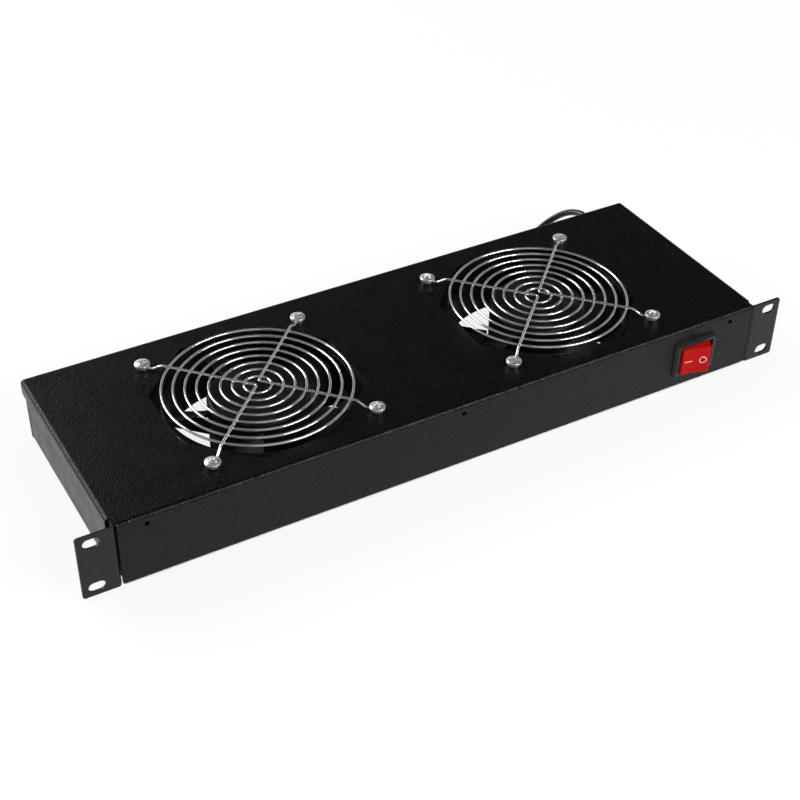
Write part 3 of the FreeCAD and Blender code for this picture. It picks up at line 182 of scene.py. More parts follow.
mouldPlan = {"specks": (0.35, 0.7), "shade": 0.88, "cloud": 90, "smoother": 0.04, "duller": 0.06,
             "relief": 0.3, "depth": 0.00003, "edge": 0.0003}


def mouldedPlastic(name, color, roughness, grain=2500, specular=0.4):
    plan = mouldPlan
    material, tree, shader = startMaterial(name, color, roughness, specular=specular)
    fine = noiseFrom(tree, grain)
    gloss = mapRange(tree, noiseFrom(tree, plan["cloud"], cloudDetail), cloudSpan,
                     roughness - plan["smoother"], roughness + plan["duller"])
    tree.links.new(gloss, shader.inputs["Roughness"])
    dark = [channel * plan["shade"] for channel in color]
    colorTo(tree, fine, shader.inputs["Base Color"], plan["specks"], dark, color)
    bumpTo(tree, fine, shader, plan["relief"], plan["depth"], plan["edge"])
    return material


rockerFinish = {
    "color": (0.4, 0.004, 0.003),
    "dark": (0.37, 0.003, 0.0025),
    "light": (0.43, 0.005, 0.004),
    "roughness": 0.2,
    "specular": 0.07,
    "cloud": 160,
    "glow": 0.25,                                 # light that passes under the surface
    "glowReach": (0.004, 0.0006, 0.0004),
    "grain": 1500,
    "relief": 0.06,
    "depth": 0.00004,
    "edge": 0.0004,
}


def rockerRed(plan):
    material, tree, shader = startMaterial("rockerRed", plan["color"], plan["roughness"],
                                           specular=plan["specular"])
    cloud = noiseFrom(tree, plan["cloud"])
    colorTo(tree, cloud, shader.inputs["Base Color"], cloudSpan, plan["dark"], plan["light"])
    shader.inputs["Subsurface Weight"].default_value = plan["glow"]
    shader.inputs["Subsurface Radius"].default_value = plan["glowReach"]
    bumpTo(tree, noiseFrom(tree, plan["grain"]), shader, plan["relief"], plan["depth"], plan["edge"])
    return material


finishes = {
    "powder_black": powderCoat("powderBlack", (0.0012, 0.0012, 0.0011), (0.007, 0.007, 0.0066),
                               roughness=0.34, grain=900, specular=0.19, depth=0.0004),
    "fan_casting": powderCoat("fanLacquer", (0.002, 0.002, 0.002), (0.005, 0.005, 0.005),
                              roughness=0.15, grain=900, specular=0.4, depth=0.00004),
    "guard_bright": platedMetal("guardChrome", (0.92, 0.92, 0.93), 0.13, streak=700, metallic=0.88),
    "zinc_bright": platedMetal("screwZinc", (0.84, 0.85, 0.87), 0.3, streak=500, metallic=0.85),
    "motor_steel": platedMetal("motorSteel", (0.46, 0.46, 0.47), 0.35, streak=300),
    "coil_copper": platedMetal("coilCopper", (0.62, 0.27, 0.12), 0.35, streak=900),
    "tin_brass": platedMetal("terminalTin", (0.66, 0.62, 0.52), 0.28, streak=500),
    "fan_blade": mouldedPlastic("bladePlastic", (0.006, 0.006, 0.0063), 0.34, grain=1600, specular=0.18),
    "switch_black": mouldedPlastic("switchPlastic", (0.017, 0.018, 0.018), 0.38, grain=3500),
    "sleeve_clear": mouldedPlastic("sleevePlastic", (0.72, 0.72, 0.69), 0.4),
    "lead_red": mouldedPlastic("leadRed", (0.36, 0.016, 0.014), 0.45),
    "lead_brown": mouldedPlastic("leadBrown", (0.10, 0.04, 0.018), 0.45),
    "lead_green": mouldedPlastic("leadGreen", (0.12, 0.34, 0.03), 0.45),
    "clip_white": mouldedPlastic("clipNylon", (0.75, 0.75, 0.72), 0.42),
    "cord_black": mouldedPlastic("cordSheath", (0.012, 0.012, 0.012), 0.33, grain=1800, specular=0.5),
    "rocker_red": rockerRed(rockerFinish),
}
signPaint = mouldedPlastic("signPaint", (0.85, 0.62, 0.62), 0.45)
wallCoatPaintedSheen = powderCoat("wallBlackPaintedSheen", (0.004, 0.004, 0.0041), (0.012, 0.012, 0.012),
                      roughness=0.4, grain=1100, specular=0.3, depth=0.00012)  # the brackets' coat: finer grain, and a lighter colour than powderBlack as painted sheen of the side walls

for row in frame["record"]["subparts"]:
    part = nodes[row["node"]]
    part.data.materials.clear()
    # the ear brackets take the lighter copy of the black coat: painted sheen on their side walls
    part.data.materials.append(wallCoatPaintedSheen if "ear_bracket" in row["node"] else finishes[row["material_slot"]])
print("finishes given to the frame")


def addPiece(name, mesh, material, body, replaced=()):
    piece = bpy.data.objects.new(name, mesh)
    scene.collection.objects.link(piece)
    mesh.materials.clear()
    mesh.materials.append(material)
    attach(piece, body)
    if replaced:
        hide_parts(*replaced)
    return piece


def smooth(mesh):
    mesh.polygons.foreach_set("use_smooth", [True] * len(mesh.polygons))
    return mesh


def plainMesh(holder):  # what the holder's curve or modifiers make
    bpy.context.view_layer.update()
    graph = bpy.context.evaluated_depsgraph_get()
    return bpy.data.meshes.new_from_object(holder.evaluated_get(graph), depsgraph=graph)


def meshFromCurve(curve):
    holder = bpy.data.objects.new("curveHolder", curve)
    scene.collection.objects.link(holder)
    mesh = plainMesh(holder)
    bpy.data.objects.remove(holder)
    return mesh


def runTree(tree, ids, values, points=None):
    holder = bpy.data.objects.new("treeHolder", points or bpy.data.meshes.new("treeHolder"))
    scene.collection.objects.link(holder)
    modifier = holder.modifiers.new("build", "NODES")
    modifier.node_group = tree
    for name, value in values.items():
        modifier[ids[name]] = value
    mesh = plainMesh(holder)
    holder.modifiers.remove(modifier)
    bpy.data.objects.remove(holder)
    return mesh


def startTree(name, inputs):
    tree = bpy.data.node_groups.new(name, "GeometryNodeTree")
    tree.interface.new_socket("Geometry", in_out="OUTPUT", socket_type="NodeSocketGeometry")
    ids = {}
    for label, kind in inputs:
        ids[label] = tree.interface.new_socket(label, in_out="INPUT", socket_type=kind).identifier
    return tree, ids


def endMesh(built, name):
    mesh = bpy.data.meshes.new(name)
    built.to_mesh(mesh)
    built.free()
    return mesh


def closeMesh(built, name, gap=1e-7):  # doubles merged, faces turned outwards
    bmesh.ops.remove_doubles(built, verts=built.verts, dist=gap)
    bmesh.ops.recalc_face_normals(built, faces=built.faces)
    return endMesh(built, name)


def joinMeshes(name, meshes):
    joined = bmesh.new()
    for mesh in meshes:
        joined.from_mesh(mesh)
    return endMesh(joined, name)


def bridgeRows(built, near, far):
    for k in range(len(near)):
        after = (k + 1) % len(near)
        built.faces.new((near[k], far[k], far[after], near[after]))


def skinMesh(name, rows, crease=35):  # closed skin over rows of points
    built = bmesh.new()
    skin = [[built.verts.new(point) for point in row] for row in rows]
    for near, far in zip(skin, skin[1:]):
        bridgeRows(built, near, far)
    built.faces.new(skin[0])
    built.faces.new(skin[-1])
    mesh = smooth(closeMesh(built, name))
    mesh.set_sharp_from_angle(angle=math.radians(crease))
    return mesh


def nurbsCurve(name, points, radius, resolution, rounds):
    curve = bpy.data.curves.new(name, "CURVE")
    curve.dimensions = "3D"
    curve.bevel_depth = radius
    curve.bevel_resolution = rounds
    curve.resolution_u = resolution
    curve.use_fill_caps = True
    spline = curve.splines.new("NURBS")
    spline.points.add(len(points) - 1)
    for target, point in zip(spline.points, points):
        target.co = (*point, 1)
    spline.order_u = 3
    spline.use_endpoint_u = True
    return curve


cordPlan = {
    "diameter": 0.0046,
    "length": 1.38,
    "exit": mm(207.5, 155, 3.2),
    "lead": [(207.5, 155, 3.2), (207.5, 163.7, 3.2), (207.5, 175.7, 3), (201.6, 185.9, -0.6),
             (191.4, 191.8, -8.6), (179.6, 191.8, -15.6), (167.3, 191.2, -19.2), (154.5, 190.2, -19.5),
             (142, 189.7, -19.5)],
    "tail": [(74, 189.3, -14.9), (57, 189.7, -14.9), (40, 188.7, -15.2), (24, 184.2, -17.2),
             (10, 176.2, -19.5), (-5, 168.7, -18.5), (-21, 164.5, -12.8), (-37, 164.5, -12.8)],
    "hankCentre": (99, 171.2),
    "halfRun": 45,
    "folds": (18.4, 13.8),                        # outer and inner lane
    "layers": (-19.5, -14.9, -10.3),
    "passes": ((0, 0), (1, 0), (1, 1), (1, 2), (0, 1)),   # lane and layer of each turn
    "changes": (112, 92, 72, 52),                 # where each turn starts to change its lane or layer
    "changeLength": 24,
    "corner": 20,                                 # degrees from point to point round a fold
    "firstBack": (120, 100, 80),                  # points of the rear runs
    "back": (130, 110, 90, 70),
    "lastBack": (130, 112, 93),
    "frontStep": 6,
}


def laneAt(plan, turn, x):
    lane, layer = plan["passes"][turn]
    nextLane, nextLayer = plan["passes"][turn + 1]
    radius, height = plan["folds"][lane], plan["layers"][layer]
    nextRadius, nextHeight = plan["folds"][nextLane], plan["layers"][nextLayer]
    done = share((x - plan["changes"][turn]) / plan["changeLength"])
    done = done * done * (3 - 2 * done)
    out, down = done, done
    if radius != nextRadius and height != nextHeight:
        out, down = math.sin(done * math.pi / 2), 1 - math.cos(done * math.pi / 2)
    return radius + (nextRadius - radius) * out, height + (nextHeight - height) * down


def foldPoints(plan, x, radius, height, first):  # half a turn
    step = plan["corner"]
    reach = radius / math.cos(math.radians(step / 2))
    centreY = plan["hankCentre"][1]
    points = []
    for k in range(round(180 / step)):
        angle = math.radians(first + step * (k + 0.5))
        points.append((x + reach * math.cos(angle), centreY + reach * math.sin(angle), height))
    return points


def hankPoints(plan):
    centreX, centreY = plan["hankCentre"]
    left, right = centreX - plan["halfRun"], centreX + plan["halfRun"]
    frontStep = plan["frontStep"]
    points = []
    for turn in range(len(plan["passes"]) - 1):
        lane, layer = plan["passes"][turn]
        radius, height = plan["folds"][lane], plan["layers"][layer]
        back = plan["back"] if turn else plan["firstBack"]
        points += [(x, centreY + radius, height) for x in back]
        points += foldPoints(plan, left, radius, height, 90)
        for step in range(round((right - left) / frontStep)):
            x = left + frontStep * (step + 0.5)
            out, up = laneAt(plan, turn, x)
            points.append((x, centreY - out, up))
        out, up = laneAt(plan, turn, right)
        points += foldPoints(plan, right, out, up, -90)
    lane, layer = plan["passes"][-1]
    points += [(x, centreY + plan["folds"][lane], plan["layers"][layer]) for x in plan["lastBack"]]
    return points


route = [mm(*point) for point in cordPlan["lead"] + hankPoints(cordPlan) + cordPlan["tail"]]
cordCurve = nurbsCurve("powerCordLine", route, cordPlan["diameter"] / 2, resolution=10, rounds=5)
cordCurve.materials.append(finishes["cord_black"])
cordPiece = bpy.data.objects.new("powerCordLine", cordCurve)
scene.collection.objects.link(cordPiece)
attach(cordPiece, "tray")
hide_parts("power_cord", "cord_hank", "cord_tail")
print("cord routed through", len(route), "points")


plugPlan = {
    "place": (-50, 164.5, -12.8),                 # back of the grip, on the plug's axis
    "cord": 2.3,
    "cornerSteps": 8,
    "sleeve": {"length": 20, "thick": 5.7, "thin": 3.2, "rings": 6, "groove": 0.55, "lip": 0.3, "steps": 60},
    "grip": {"length": 28, "wide": 13.5, "high": 9, "corner": 4.2, "edge": 3, "edgeSteps": 6, "step": 0.8,
             "ribs": 5, "groove": 0.6, "steps": 50},
    "shroud": {"length": 19, "wide": 11.8, "high": 8, "corner": 1.2, "sharpest": 0.2, "chamfer": 4.5,
               "wall": 2, "lip": 0.4},
}


def groove(along, count):  # 0 on a rib, 1 between two ribs
    return (0.5 - 0.5 * math.cos(2 * math.pi * count * along)) ** 2


def plugRows(plan):  # place along the axis, half width, half height, lower and upper corners, slanted or not
    sleeve, grip, shroud = plan["sleeve"], plan["grip"], plan["shroud"]

    def sleeveRow(x, radius):
        return x, radius, radius, radius, radius, False

    def gripRow(x, inset):
        corner = grip["corner"] - inset
        return x, grip["wide"] - inset, grip["high"] - inset, corner, corner, False

    def shroudRow(x, inset):
        slant = shroud["chamfer"] - inset * (2 - math.sqrt(2))
        corner = max(shroud["corner"] - inset, shroud["sharpest"])
        return x, shroud["wide"] - inset, shroud["high"] - inset, corner, slant, True

    rows = [sleeveRow(sleeve["length"], radius) for radius in (plan["cord"], sleeve["thin"] - sleeve["lip"])]
    for k in range(sleeve["steps"] + 1):
        along = k / sleeve["steps"]
        radius = sleeve["thin"] + (sleeve["thick"] - sleeve["thin"]) * along
        rows.append(sleeveRow((sleeve["length"] - sleeve["lip"]) * (1 - along),
                              radius - sleeve["groove"] * groove(along, sleeve["rings"])))
    for k in range(grip["edgeSteps"] + 1):
        angle = math.radians(90 * k / grip["edgeSteps"])
        rows.append(gripRow(-grip["edge"] * (1 - math.cos(angle)), grip["edge"] * (1 - math.sin(angle))))
    ribbed = grip["length"] - grip["edge"] - grip["step"]
    for k in range(1, grip["steps"] + 1):
        along = k / grip["steps"]
        rows.append(gripRow(-grip["edge"] - ribbed * along, grip["groove"] * groove(along, grip["ribs"])))
    rows.append(gripRow(-grip["length"], grip["step"]))
    mouth, lip, wall = grip["length"] + shroud["length"], shroud["lip"], shroud["wall"]
    for x, inset in ((-grip["length"], 0), (lip - mouth, 0), (-mouth, lip), (-mouth, wall - lip),
                     (lip - mouth, wall), (-grip["length"], wall)):
        rows.append(shroudRow(x, inset))
    return rows


def plugSection(steps, wide, high, lower, upper, slanted):
    points = []
    for quarter, (across, up) in enumerate(((1, 1), (-1, 1), (-1, -1), (1, -1))):
        corner = upper if up > 0 else lower
        first = math.radians(90 * quarter)
        for k in range(steps + 1):
            angle = first + math.radians(90 * k / steps)
            outY, outZ = math.cos(angle), math.sin(angle)
            if slanted and up > 0:
                outY = math.cos(first) * (1 - k / steps) - math.sin(first) * k / steps
                outZ = math.sin(first) * (1 - k / steps) + math.cos(first) * k / steps
            points.append((across * (wide - corner) + corner * outY, up * (high - corner) + corner * outZ))
    return points


def plugMesh(plan):
    place = Vector(plan["place"])
    rows = []
    for x, *shape in plugRows(plan):
        section = plugSection(plan["cornerSteps"], *shape)
        rows.append([(place + Vector((x, y, z))) / 1000 for y, z in section])
    return skinMesh("plugMoulding", rows)


tiePlan = {
    "corner": 0.0037,
    "cornerSteps": 8,
    "sheet": 0.0012,
    "soft": 0.0003,                               # rounding of the strap's edges
}


def tieMesh(plan):  # strap bent over the hank's runs, in the place of the plain tie
    low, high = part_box("cord_tie")
    radius, sheet, soft = plan["corner"], plan["sheet"], plan["soft"]
    bend = [(low[1], low[2], -1, 0)]
    for middle, first in ((low[1] + radius, 180), (high[1] - radius, 90)):
        for k in range(plan["cornerSteps"] + 1):
            angle = math.radians(first - 90 * k / plan["cornerSteps"])
            outY, outZ = math.cos(angle), math.sin(angle)
            bend.append((middle + radius * outY, high[2] - radius + radius * outZ, outY, outZ))
    bend.append((high[1], low[2], 1, 0))
    left, right = low[0], high[0]
    section = [(left, soft), (left + soft, 0), (right - soft, 0), (right, soft), (right, sheet - soft),
               (right - soft, sheet), (left + soft, sheet), (left, sheet - soft)]
    return skinMesh("tieStrap", [[(x, y - outY * inset, z - outZ * inset) for x, inset in section]
                                 for y, z, outY, outZ in bend])


sheath = finishes["cord_black"]
plugPiece = addPiece("plugMoulding", plugMesh(plugPlan), sheath, "tray", ["power_plug"])
tiePiece = addPiece("tieStrap", tieMesh(tiePlan), sheath, "tray", ["cord_tie"])
print("cord laid, plug moulded, hank tied")


fanPlaces = {"left": mm(-100, 71.3), "right": mm(100, 71.3)}
deckTop = 0.0226

guardPlan = {
    "wire": 0.0008,                               # radius
    "first": 0.00825,
    "step": 0.007,
    "count": 8,
    "ringSteps": 144,
    "wireSteps": 14,
    "rise": 0.0031,
    "bite": 0.0002,                               # weld between ring and support wire
    "corner": 0.0525,
    "eye": 0.0031,
    "eyeSteps": 40,
    "eyeSides": 12,
    "flat": 0.004,
    "joggle": 0.0055,
    "vertex": 0.0013,
    "skew": 0.0018,
    "bend": 0.003,                                # how far a bend of the support wire reaches
    "nose": 0.0002,
}


def ringTree(plan):
    tree, ids = startTree("guardRings", (
        ("Ring Count", "NodeSocketInt"), ("First Radius", "NodeSocketFloat"),
        ("Ring Step", "NodeSocketFloat"), ("Wire Radius", "NodeSocketFloat"),
        ("Centre", "NodeSocketVector"), ("Finish", "NodeSocketMaterial")))
    add, link = tree.nodes.new, tree.links.new
    start, end = add("NodeGroupInput"), add("NodeGroupOutput")
    line = add("GeometryNodeMeshLine")
    link(start.outputs["Ring Count"], line.inputs["Count"])
    line.inputs["Offset"].default_value = (0, 0, 0)
    move = add("GeometryNodeSetPosition")
    link(line.outputs["Mesh"], move.inputs["Geometry"])
    link(start.outputs["Centre"], move.inputs["Offset"])
    hoop = add("GeometryNodeCurvePrimitiveCircle")
    hoop.inputs["Resolution"].default_value = plan["ringSteps"]
    hoop.inputs["Radius"].default_value = 1
    index = add("GeometryNodeInputIndex")
    grow = add("ShaderNodeMath")
    grow.operation = "MULTIPLY_ADD"
    link(index.outputs["Index"], grow.inputs[0])
    link(start.outputs["Ring Step"], grow.inputs[1])
    link(start.outputs["First Radius"], grow.inputs[2])
    put = add("GeometryNodeInstanceOnPoints")
    link(move.outputs["Geometry"], put.inputs["Points"])
    link(hoop.outputs["Curve"], put.inputs["Instance"])
    link(grow.outputs["Value"], put.inputs["Scale"])
    real = add("GeometryNodeRealizeInstances")
    link(put.outputs["Instances"], real.inputs["Geometry"])
    section = add("GeometryNodeCurvePrimitiveCircle")
    section.inputs["Resolution"].default_value = plan["wireSteps"]
    link(start.outputs["Wire Radius"], section.inputs["Radius"])
    sweep = add("GeometryNodeCurveToMesh")
    link(real.outputs["Geometry"], sweep.inputs["Curve"])
    link(section.outputs["Curve"], sweep.inputs["Profile Curve"])
    shade = add("GeometryNodeSetShadeSmooth")
    link(sweep.outputs["Mesh"], shade.inputs["Geometry"])
    paint = add("GeometryNodeSetMaterial")
    link(shade.outputs["Geometry"], paint.inputs["Geometry"])
    link(start.outputs["Finish"], paint.inputs["Material"])
    link(paint.outputs["Geometry"], end.inputs["Geometry"])
    return tree, ids


def supportWire(plan, centre, across):
    low = plan["wire"]
    high = plan["rise"] + 2 * plan["wire"] - plan["bite"]
    vertex = Vector((across * plan["vertex"], across * plan["skew"], high))
    arms = []
    for along in (-1, 1):
        seat = Vector((across * plan["corner"], along * plan["corner"], low))
        inward = Vector((vertex.x - seat.x, vertex.y - seat.y, 0)).normalized()
        start = seat + inward * plan["eye"]
        knee = start + inward * plan["flat"]
        shoulder = knee + inward * plan["joggle"] + Vector((0, 0, high - low))
        length = (vertex - shoulder).length
        arms.append([start, start + inward * (plan["flat"] / 2), knee,
                     shoulder, shoulder + inward * plan["bend"],
                     vertex - inward * (length / 2), vertex - inward * plan["bend"]])
    points = arms[0] + [vertex + Vector((across * plan["nose"], 0, 0))] + arms[1][::-1]
    shift = Vector((*centre, deckTop))
    points = [point + shift for point in points]
    return meshFromCurve(nurbsCurve("supportWire", points, plan["wire"], resolution=10, rounds=4))


def eyeLoop(plan, centre, across, along):
    x, y = centre[0] + across * plan["corner"], centre[1] + along * plan["corner"]
    middle = Vector((x, y, deckTop + plan["wire"]))
    loop = bmesh.new()
    grid = []
    for k in range(plan["eyeSteps"]):
        turn = 2 * math.pi * k / plan["eyeSteps"]
        out = Vector((math.cos(turn), math.sin(turn), 0))
        row = []
        for j in range(plan["eyeSides"]):
            angle = 2 * math.pi * j / plan["eyeSides"]
            lift = Vector((0, 0, plan["wire"] * math.sin(angle)))
            row.append(loop.verts.new(middle + out * (plan["eye"] + plan["wire"] * math.cos(angle)) + lift))
        grid.append(row)
    for near, far in zip(grid, grid[1:] + grid[:1]):
        bridgeRows(loop, near, far)
    return endMesh(loop, "eyeLoop")


chrome = finishes["guard_bright"]
guardTree, guardIds = ringTree(guardPlan)
for side, centre in fanPlaces.items():
    rings = runTree(guardTree, guardIds, {
        "Ring Count": guardPlan["count"], "First Radius": guardPlan["first"], "Ring Step": guardPlan["step"],
        "Wire Radius": guardPlan["wire"], "Centre": (*centre, deckTop + guardPlan["rise"]), "Finish": chrome})
    wires = [supportWire(guardPlan, centre, across) for across in (-1, 1)]
    eyes = [eyeLoop(guardPlan, centre, across, along) for across in (-1, 1) for along in (-1, 1)]
    guard = smooth(joinMeshes(f"guardWires_{side}", [rings] + wires + eyes))
    addPiece(f"guardWires_{side}", guard, chrome, "tray", [f"finger_guard_{side}"])
print("guards made")


screwPlan = {
    "headRadius": 0.0048,
    "headRise": 0.0029,
    "side": 0.0018,
    "round": 0.00025,
    "roundTop": 0.3,                              # share of the rounding where the dome meets it
    "domeCurve": 2.2,
    "rings": 26,
    "around": 72,
    "crossReach": 0.0028,
    "crossWidth": 0.0008,
    "crossTaper": 0.35,
    "crossDepth": 0.0018,
    "crossWall": 0.00022,                         # run of the recess's walls
    "crossEnd": 0.0005,
    "core": 0.0011,
    "coreWall": 0.0004,
    "shank": 0.002,
    "tip": 0.0004,
    "tipShare": 0.8,
    "under": 0.0242,                              # underside of the heads
    "foot": 0.0108,
    "turns": (20, 65, -12, 38, 52, 8, 75, 30),    # how each cross happens to stand
}


def crossDepth(plan, x, y):
    across, along = sorted((abs(x), abs(y)))
    width = plan["crossWidth"] * (1 - plan["crossTaper"] * along / plan["crossReach"])
    arm = share((width - across) / plan["crossWall"]) * share((plan["crossReach"] - along) / plan["crossEnd"])
    core = share((plan["core"] - math.hypot(x, y)) / plan["coreWall"])
    return plan["crossDepth"] * max(arm, core)


def screwMesh(plan):
    built = bmesh.new()
    circle = [2 * math.pi * k / plan["around"] for k in range(plan["around"])]
    circle = [(math.cos(angle), math.sin(angle)) for angle in circle]
    rows = []
    for ring in range(plan["rings"]):
        out = ring / plan["rings"]
        radius = plan["headRadius"] * out
        dome = plan["side"] + (plan["headRise"] - plan["side"]) * (1 - out ** plan["domeCurve"])
        row = []
        for x, y in circle:
            x, y = radius * x, radius * y
            row.append(built.verts.new((x, y, dome - crossDepth(plan, x, y))))
        rows.append(row)
    head, edge, foot = plan["headRadius"], plan["round"], plan["foot"] - plan["under"]
    for height, radius in ((plan["side"], head - edge * plan["roundTop"]), (plan["side"] - edge, head),
                           (edge, head), (0, head - edge), (0, plan["shank"]), (foot, plan["shank"]),
                           (foot - plan["tip"], plan["shank"] * plan["tipShare"])):
        rows.append([built.verts.new((radius * x, radius * y, height)) for x, y in circle])
    for upper, lower in zip(rows, rows[1:]):
        bridgeRows(built, upper, lower)
    built.faces.new(rows[-1][::-1])
    return closeMesh(built, "screw")


def scatterTree():
    tree, ids = startTree("screwsOnPoints", (("Points", "NodeSocketGeometry"), ("Screw", "NodeSocketObject"),
                                             ("Finish", "NodeSocketMaterial")))
    add, link = tree.nodes.new, tree.links.new
    start, end = add("NodeGroupInput"), add("NodeGroupOutput")
    info = add("GeometryNodeObjectInfo")
    link(start.outputs["Screw"], info.inputs["Object"])
    stand = add("GeometryNodeInputNamedAttribute")
    stand.data_type = "FLOAT_VECTOR"
    stand.inputs["Name"].default_value = "stand"
    put = add("GeometryNodeInstanceOnPoints")
    link(start.outputs["Points"], put.inputs["Points"])
    link(info.outputs["Geometry"], put.inputs["Instance"])
    link(stand.outputs["Attribute"], put.inputs["Rotation"])
    real = add("GeometryNodeRealizeInstances")
    link(put.outputs["Instances"], real.inputs["Geometry"])
    paint = add("GeometryNodeSetMaterial")
    link(real.outputs["Geometry"], paint.inputs["Geometry"])
    link(start.outputs["Finish"], paint.inputs["Material"])
    link(paint.outputs["Geometry"], end.inputs["Geometry"])
    return tree, ids


def scatterScrews(plan, finish):
    places = bpy.data.meshes.new("screwPlaces")
    spots = [(x + across * guardPlan["corner"], y + along * guardPlan["corner"], plan["under"])
             for x, y in fanPlaces.values() for across in (-1, 1) for along in (-1, 1)]
    places.from_pydata(spots, [], [])
    stand = places.attributes.new("stand", "FLOAT_VECTOR", "POINT")
    for spot, degrees in zip(stand.data, plan["turns"]):
        spot.vector = (0, 0, math.radians(degrees))
    model = bpy.data.objects.new("screwModel", screwMesh(plan))
    scene.collection.objects.link(model)
    tree, ids = scatterTree()
    mesh = runTree(tree, ids, {"Screw": model, "Finish": finish}, places)
    bpy.data.objects.remove(model)
    return smooth(mesh)


zinc = finishes["zinc_bright"]
addPiece("guardScrewHeads", scatterScrews(screwPlan, zinc), zinc, "tray", ["guard_screws"])
print("screws set")


rockerPlan = {
    "pivot": (173.4, 3.8, -0.3),
    "tilt": -14.5,                                # as it stands in the photograph
    "lift": 0.06,
    "sunk": 0.05,
    "reach": 12.6,
    "dish": 0.7,
    "dishRun": 2 / 3,                             # share of the half face that slopes
    "face": 9.5,
    "barFrom": -7.6,
    "barTo": -2.2,
    "barWide": 0.55,
    "barSteps": 10,
    "ringAt": 5.0,
    "ringOut": 2.45,
    "ringIn": 1.9,
    "ringSteps": 48,
}


def rockerFace(plan, x):  # dished towards its middle
    return -plan["reach"] + plan["dish"] * share((plan["face"] - abs(x)) / (plan["face"] * plan["dishRun"]))


def signMesh(plan):
    built = bmesh.new()
    turn = Matrix.Translation(plan["pivot"]) @ Matrix.Rotation(math.radians(plan["tilt"]), 4, "Z")

    def spot(x, z, lift):
        point = turn @ Vector((x, rockerFace(plan, x) - lift, z))
        return built.verts.new(point / 1000)

    def strip(outline):
        tops = [[spot(x, z, plan["lift"]) for x, z in pair] for pair in outline]
        feet = [[spot(x, z, -plan["sunk"]) for x, z in pair] for pair in outline]
        for k in range(len(outline) - 1):
            built.faces.new((tops[k][0], tops[k + 1][0], tops[k + 1][1], tops[k][1]))
            built.faces.new((feet[k][0], feet[k][1], feet[k + 1][1], feet[k + 1][0]))
            built.faces.new((tops[k][0], feet[k][0], feet[k + 1][0], tops[k + 1][0]))
            built.faces.new((tops[k][1], tops[k + 1][1], feet[k + 1][1], feet[k][1]))
        return tops, feet

    half, length = plan["barWide"] / 2, plan["barTo"] - plan["barFrom"]
    bar = [plan["barFrom"] + length * k / plan["barSteps"] for k in range(plan["barSteps"] + 1)]
    tops, feet = strip([((x, -half), (x, half)) for x in bar])
    for k in (0, -1):
        built.faces.new((tops[k][0], tops[k][1], feet[k][1], feet[k][0]))
    ring = []
    for k in range(plan["ringSteps"] + 1):
        angle = 2 * math.pi * k / plan["ringSteps"]
        ring.append([(plan["ringAt"] + radius * math.cos(angle), radius * math.sin(angle))
                     for radius in (plan["ringIn"], plan["ringOut"])])
    strip(ring)
    return closeMesh(built, "rockerSigns")


addPiece("rockerSigns", signMesh(rockerPlan), signPaint, "rocker")
print("rocker signs set")


floorPlan = {
    "level": -0.0219,
    "half": 6.0,
    "tone": 0.86,
    "glow": 0.86,
    "under": (0.2165, 0.0735, 0.0748),            # half width, middle and half depth of the tray
    "fans": (0.103, 0.0763, 0.062),               # centre and radius of the fan circles, where the floor keeps its glow as a painted bright patch in the tray's shadow
}


def reckon(tree, operation, *values):
    node = addNode(tree, "ShaderNodeMath", operation=operation)
    for socket, value in zip(node.inputs, values):
        if isinstance(value, (int, float)):
            socket.default_value = value
        else:
            tree.links.new(value, socket)
    return node.outputs["Value"]


def floorGlow(tree, plan):  # shaded under the tray, but under the fans it keeps its glow: painted light in the tray's shadow
    path = addNode(tree, "ShaderNodeLightPath").outputs
    split = addNode(tree, "ShaderNodeSeparateXYZ")
    tree.links.new(addNode(tree, "ShaderNodeTexCoord").outputs["Object"], split.inputs["Vector"])
    halfWide, middle, halfDeep = plan["under"]
    fanX, fanY, fanRadius = plan["fans"]
    across = reckon(tree, "ABSOLUTE", split.outputs["X"])
    back = reckon(tree, "ABSOLUTE", reckon(tree, "SUBTRACT", split.outputs["Y"], middle))
    under = reckon(tree, "MULTIPLY", reckon(tree, "LESS_THAN", across, halfWide),
                   reckon(tree, "LESS_THAN", back, halfDeep))
    sideways = reckon(tree, "SUBTRACT", across, fanX)
    along = reckon(tree, "SUBTRACT", split.outputs["Y"], fanY)
    reach = reckon(tree, "ADD", reckon(tree, "MULTIPLY", sideways, sideways),
                   reckon(tree, "MULTIPLY", along, along))
    # the fan circles are left out of the shade, so the floor glows there though the tray covers it
    shaded = reckon(tree, "MULTIPLY", under, reckon(tree, "GREATER_THAN", reach, fanRadius ** 2))
    seen = reckon(tree, "MULTIPLY", path["Is Camera Ray"], reckon(tree, "SUBTRACT", 1.0, shaded))
    mirrored = reckon(tree, "MAXIMUM", path["Is Glossy Ray"], path["Is Transmission Ray"])
    mirrored = reckon(tree, "MULTIPLY", mirrored, reckon(tree, "SUBTRACT", 1.0, under))
    return reckon(tree, "MULTIPLY", reckon(tree, "MAXIMUM", seen, mirrored), plan["glow"])


def makeFloor(plan):
    mesh = bpy.data.meshes.new("studioFloor")
    half, level = plan["half"], plan["level"]
    mesh.from_pydata([(-half, -half, level), (half, -half, level), (half, half, level), (-half, half, level)],
                     [], [(0, 1, 2, 3)])
    material = bpy.data.materials.new("studioFloor")
    material.use_nodes = True
    tree = material.node_tree
    tree.nodes.clear()
    matte = addNode(tree, "ShaderNodeBsdfDiffuse", Color=(plan["tone"], plan["tone"], plan["tone"], 1))
    white = addNode(tree, "ShaderNodeEmission", Color=(1, 1, 1, 1), Strength=1.0)
    mix = addNode(tree, "ShaderNodeMixShader")
    tree.links.new(floorGlow(tree, plan), mix.inputs["Fac"])
    tree.links.new(matte.outputs["BSDF"], mix.inputs[1])
    tree.links.new(white.outputs["Emission"], mix.inputs[2])
    out = addNode(tree, "ShaderNodeOutputMaterial")
    tree.links.new(mix.outputs["Shader"], out.inputs["Surface"])
    mesh.materials.append(material)
    floor = bpy.data.objects.new("studioFloor", mesh)
    scene.collection.objects.link(floor)


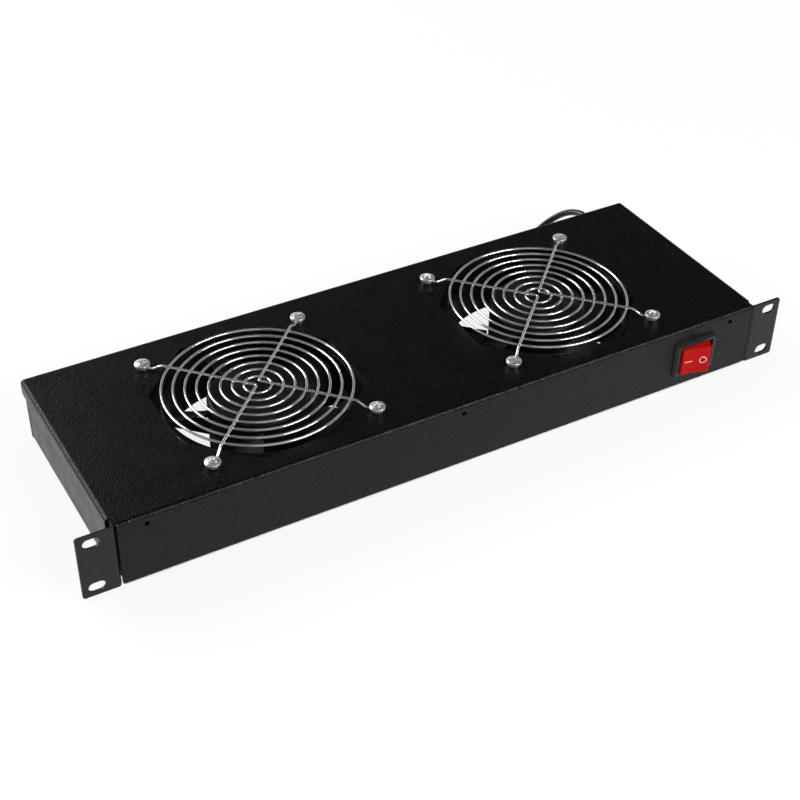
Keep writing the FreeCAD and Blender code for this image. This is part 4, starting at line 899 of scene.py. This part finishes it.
lampAim = (0, 0.07, 0)
lampPlan = {
    "key": {"place": (-1.05, 1.3, 0.9), "size": (1.2, 0.7), "power": 23},
    "front": {"place": (-0.3, -1.6, 0.9), "size": (1.4, 0.8), "power": 3},
    "fill": {"place": (0.75, -1.3, 1.0), "size": (1.3, 0.4), "power": 24},
    "rear": {"place": (-0.5, 1.7, 1.5), "size": (0.9, 0.9), "power": 6},
}


def makeLamps(plan):
    for name, lamp in plan.items():
        data = bpy.data.lights.new(name, "AREA")
        data.shape = "RECTANGLE"
        data.size, data.size_y = lamp["size"]
        data.energy = lamp["power"]
        item = bpy.data.objects.new(name, data)
        item.location = lamp["place"]
        item.rotation_euler = (Vector(lampAim) - Vector(lamp["place"])).to_track_quat("-Z", "Y").to_euler()
        scene.collection.objects.link(item)


worldPlan = {
    "ambient": 0.45,
    "heights": (0.08, 0.42),                      # between the horizon and the dark ceiling
    "horizon": 1.0,
    "overhead": 0.04,
    "corner": ((0.2, 0.6), 1.0, 0.2),             # dimmed towards the rear right corner
    "front": ((-0.5, -0.15), 0.15, 1.0),          # dimmed towards the front
}


def blend(tree, amount, low, high):
    mix = addNode(tree, "ShaderNodeMix", data_type="FLOAT")
    tree.links.new(amount, mix.inputs[0])
    for socket, value in ((mix.inputs[2], low), (mix.inputs[3], high)):
        if isinstance(value, float):
            socket.default_value = value
        else:
            tree.links.new(value, socket)
    return mix.outputs[0]


def makeWorld(plan):
    world = bpy.data.worlds.new("studioWorld")
    world.use_nodes = True
    tree = world.node_tree
    back = tree.nodes["Background"]
    back.inputs["Color"].default_value = (1, 1, 1, 1)
    path = addNode(tree, "ShaderNodeLightPath")
    split = addNode(tree, "ShaderNodeSeparateXYZ")
    tree.links.new(addNode(tree, "ShaderNodeTexCoord").outputs["Generated"], split.inputs["Vector"])
    above = mapRange(tree, split.outputs["Z"], plan["heights"], plan["horizon"], plan["overhead"])
    corner = reckon(tree, "MINIMUM", split.outputs["X"], split.outputs["Y"])
    for source, fade in ((corner, plan["corner"]), (split.outputs["Y"], plan["front"])):
        above = reckon(tree, "MULTIPLY", above, mapRange(tree, source, *fade))
    mirrored = blend(tree, path.outputs["Is Glossy Ray"], plan["ambient"], above)
    seen = blend(tree, path.outputs["Is Camera Ray"], mirrored, 1.0)
    tree.links.new(seen, back.inputs["Strength"])
    scene.world = world


makeFloor(floorPlan)
makeLamps(lampPlan)
makeWorld(worldPlan)
print("studio set")
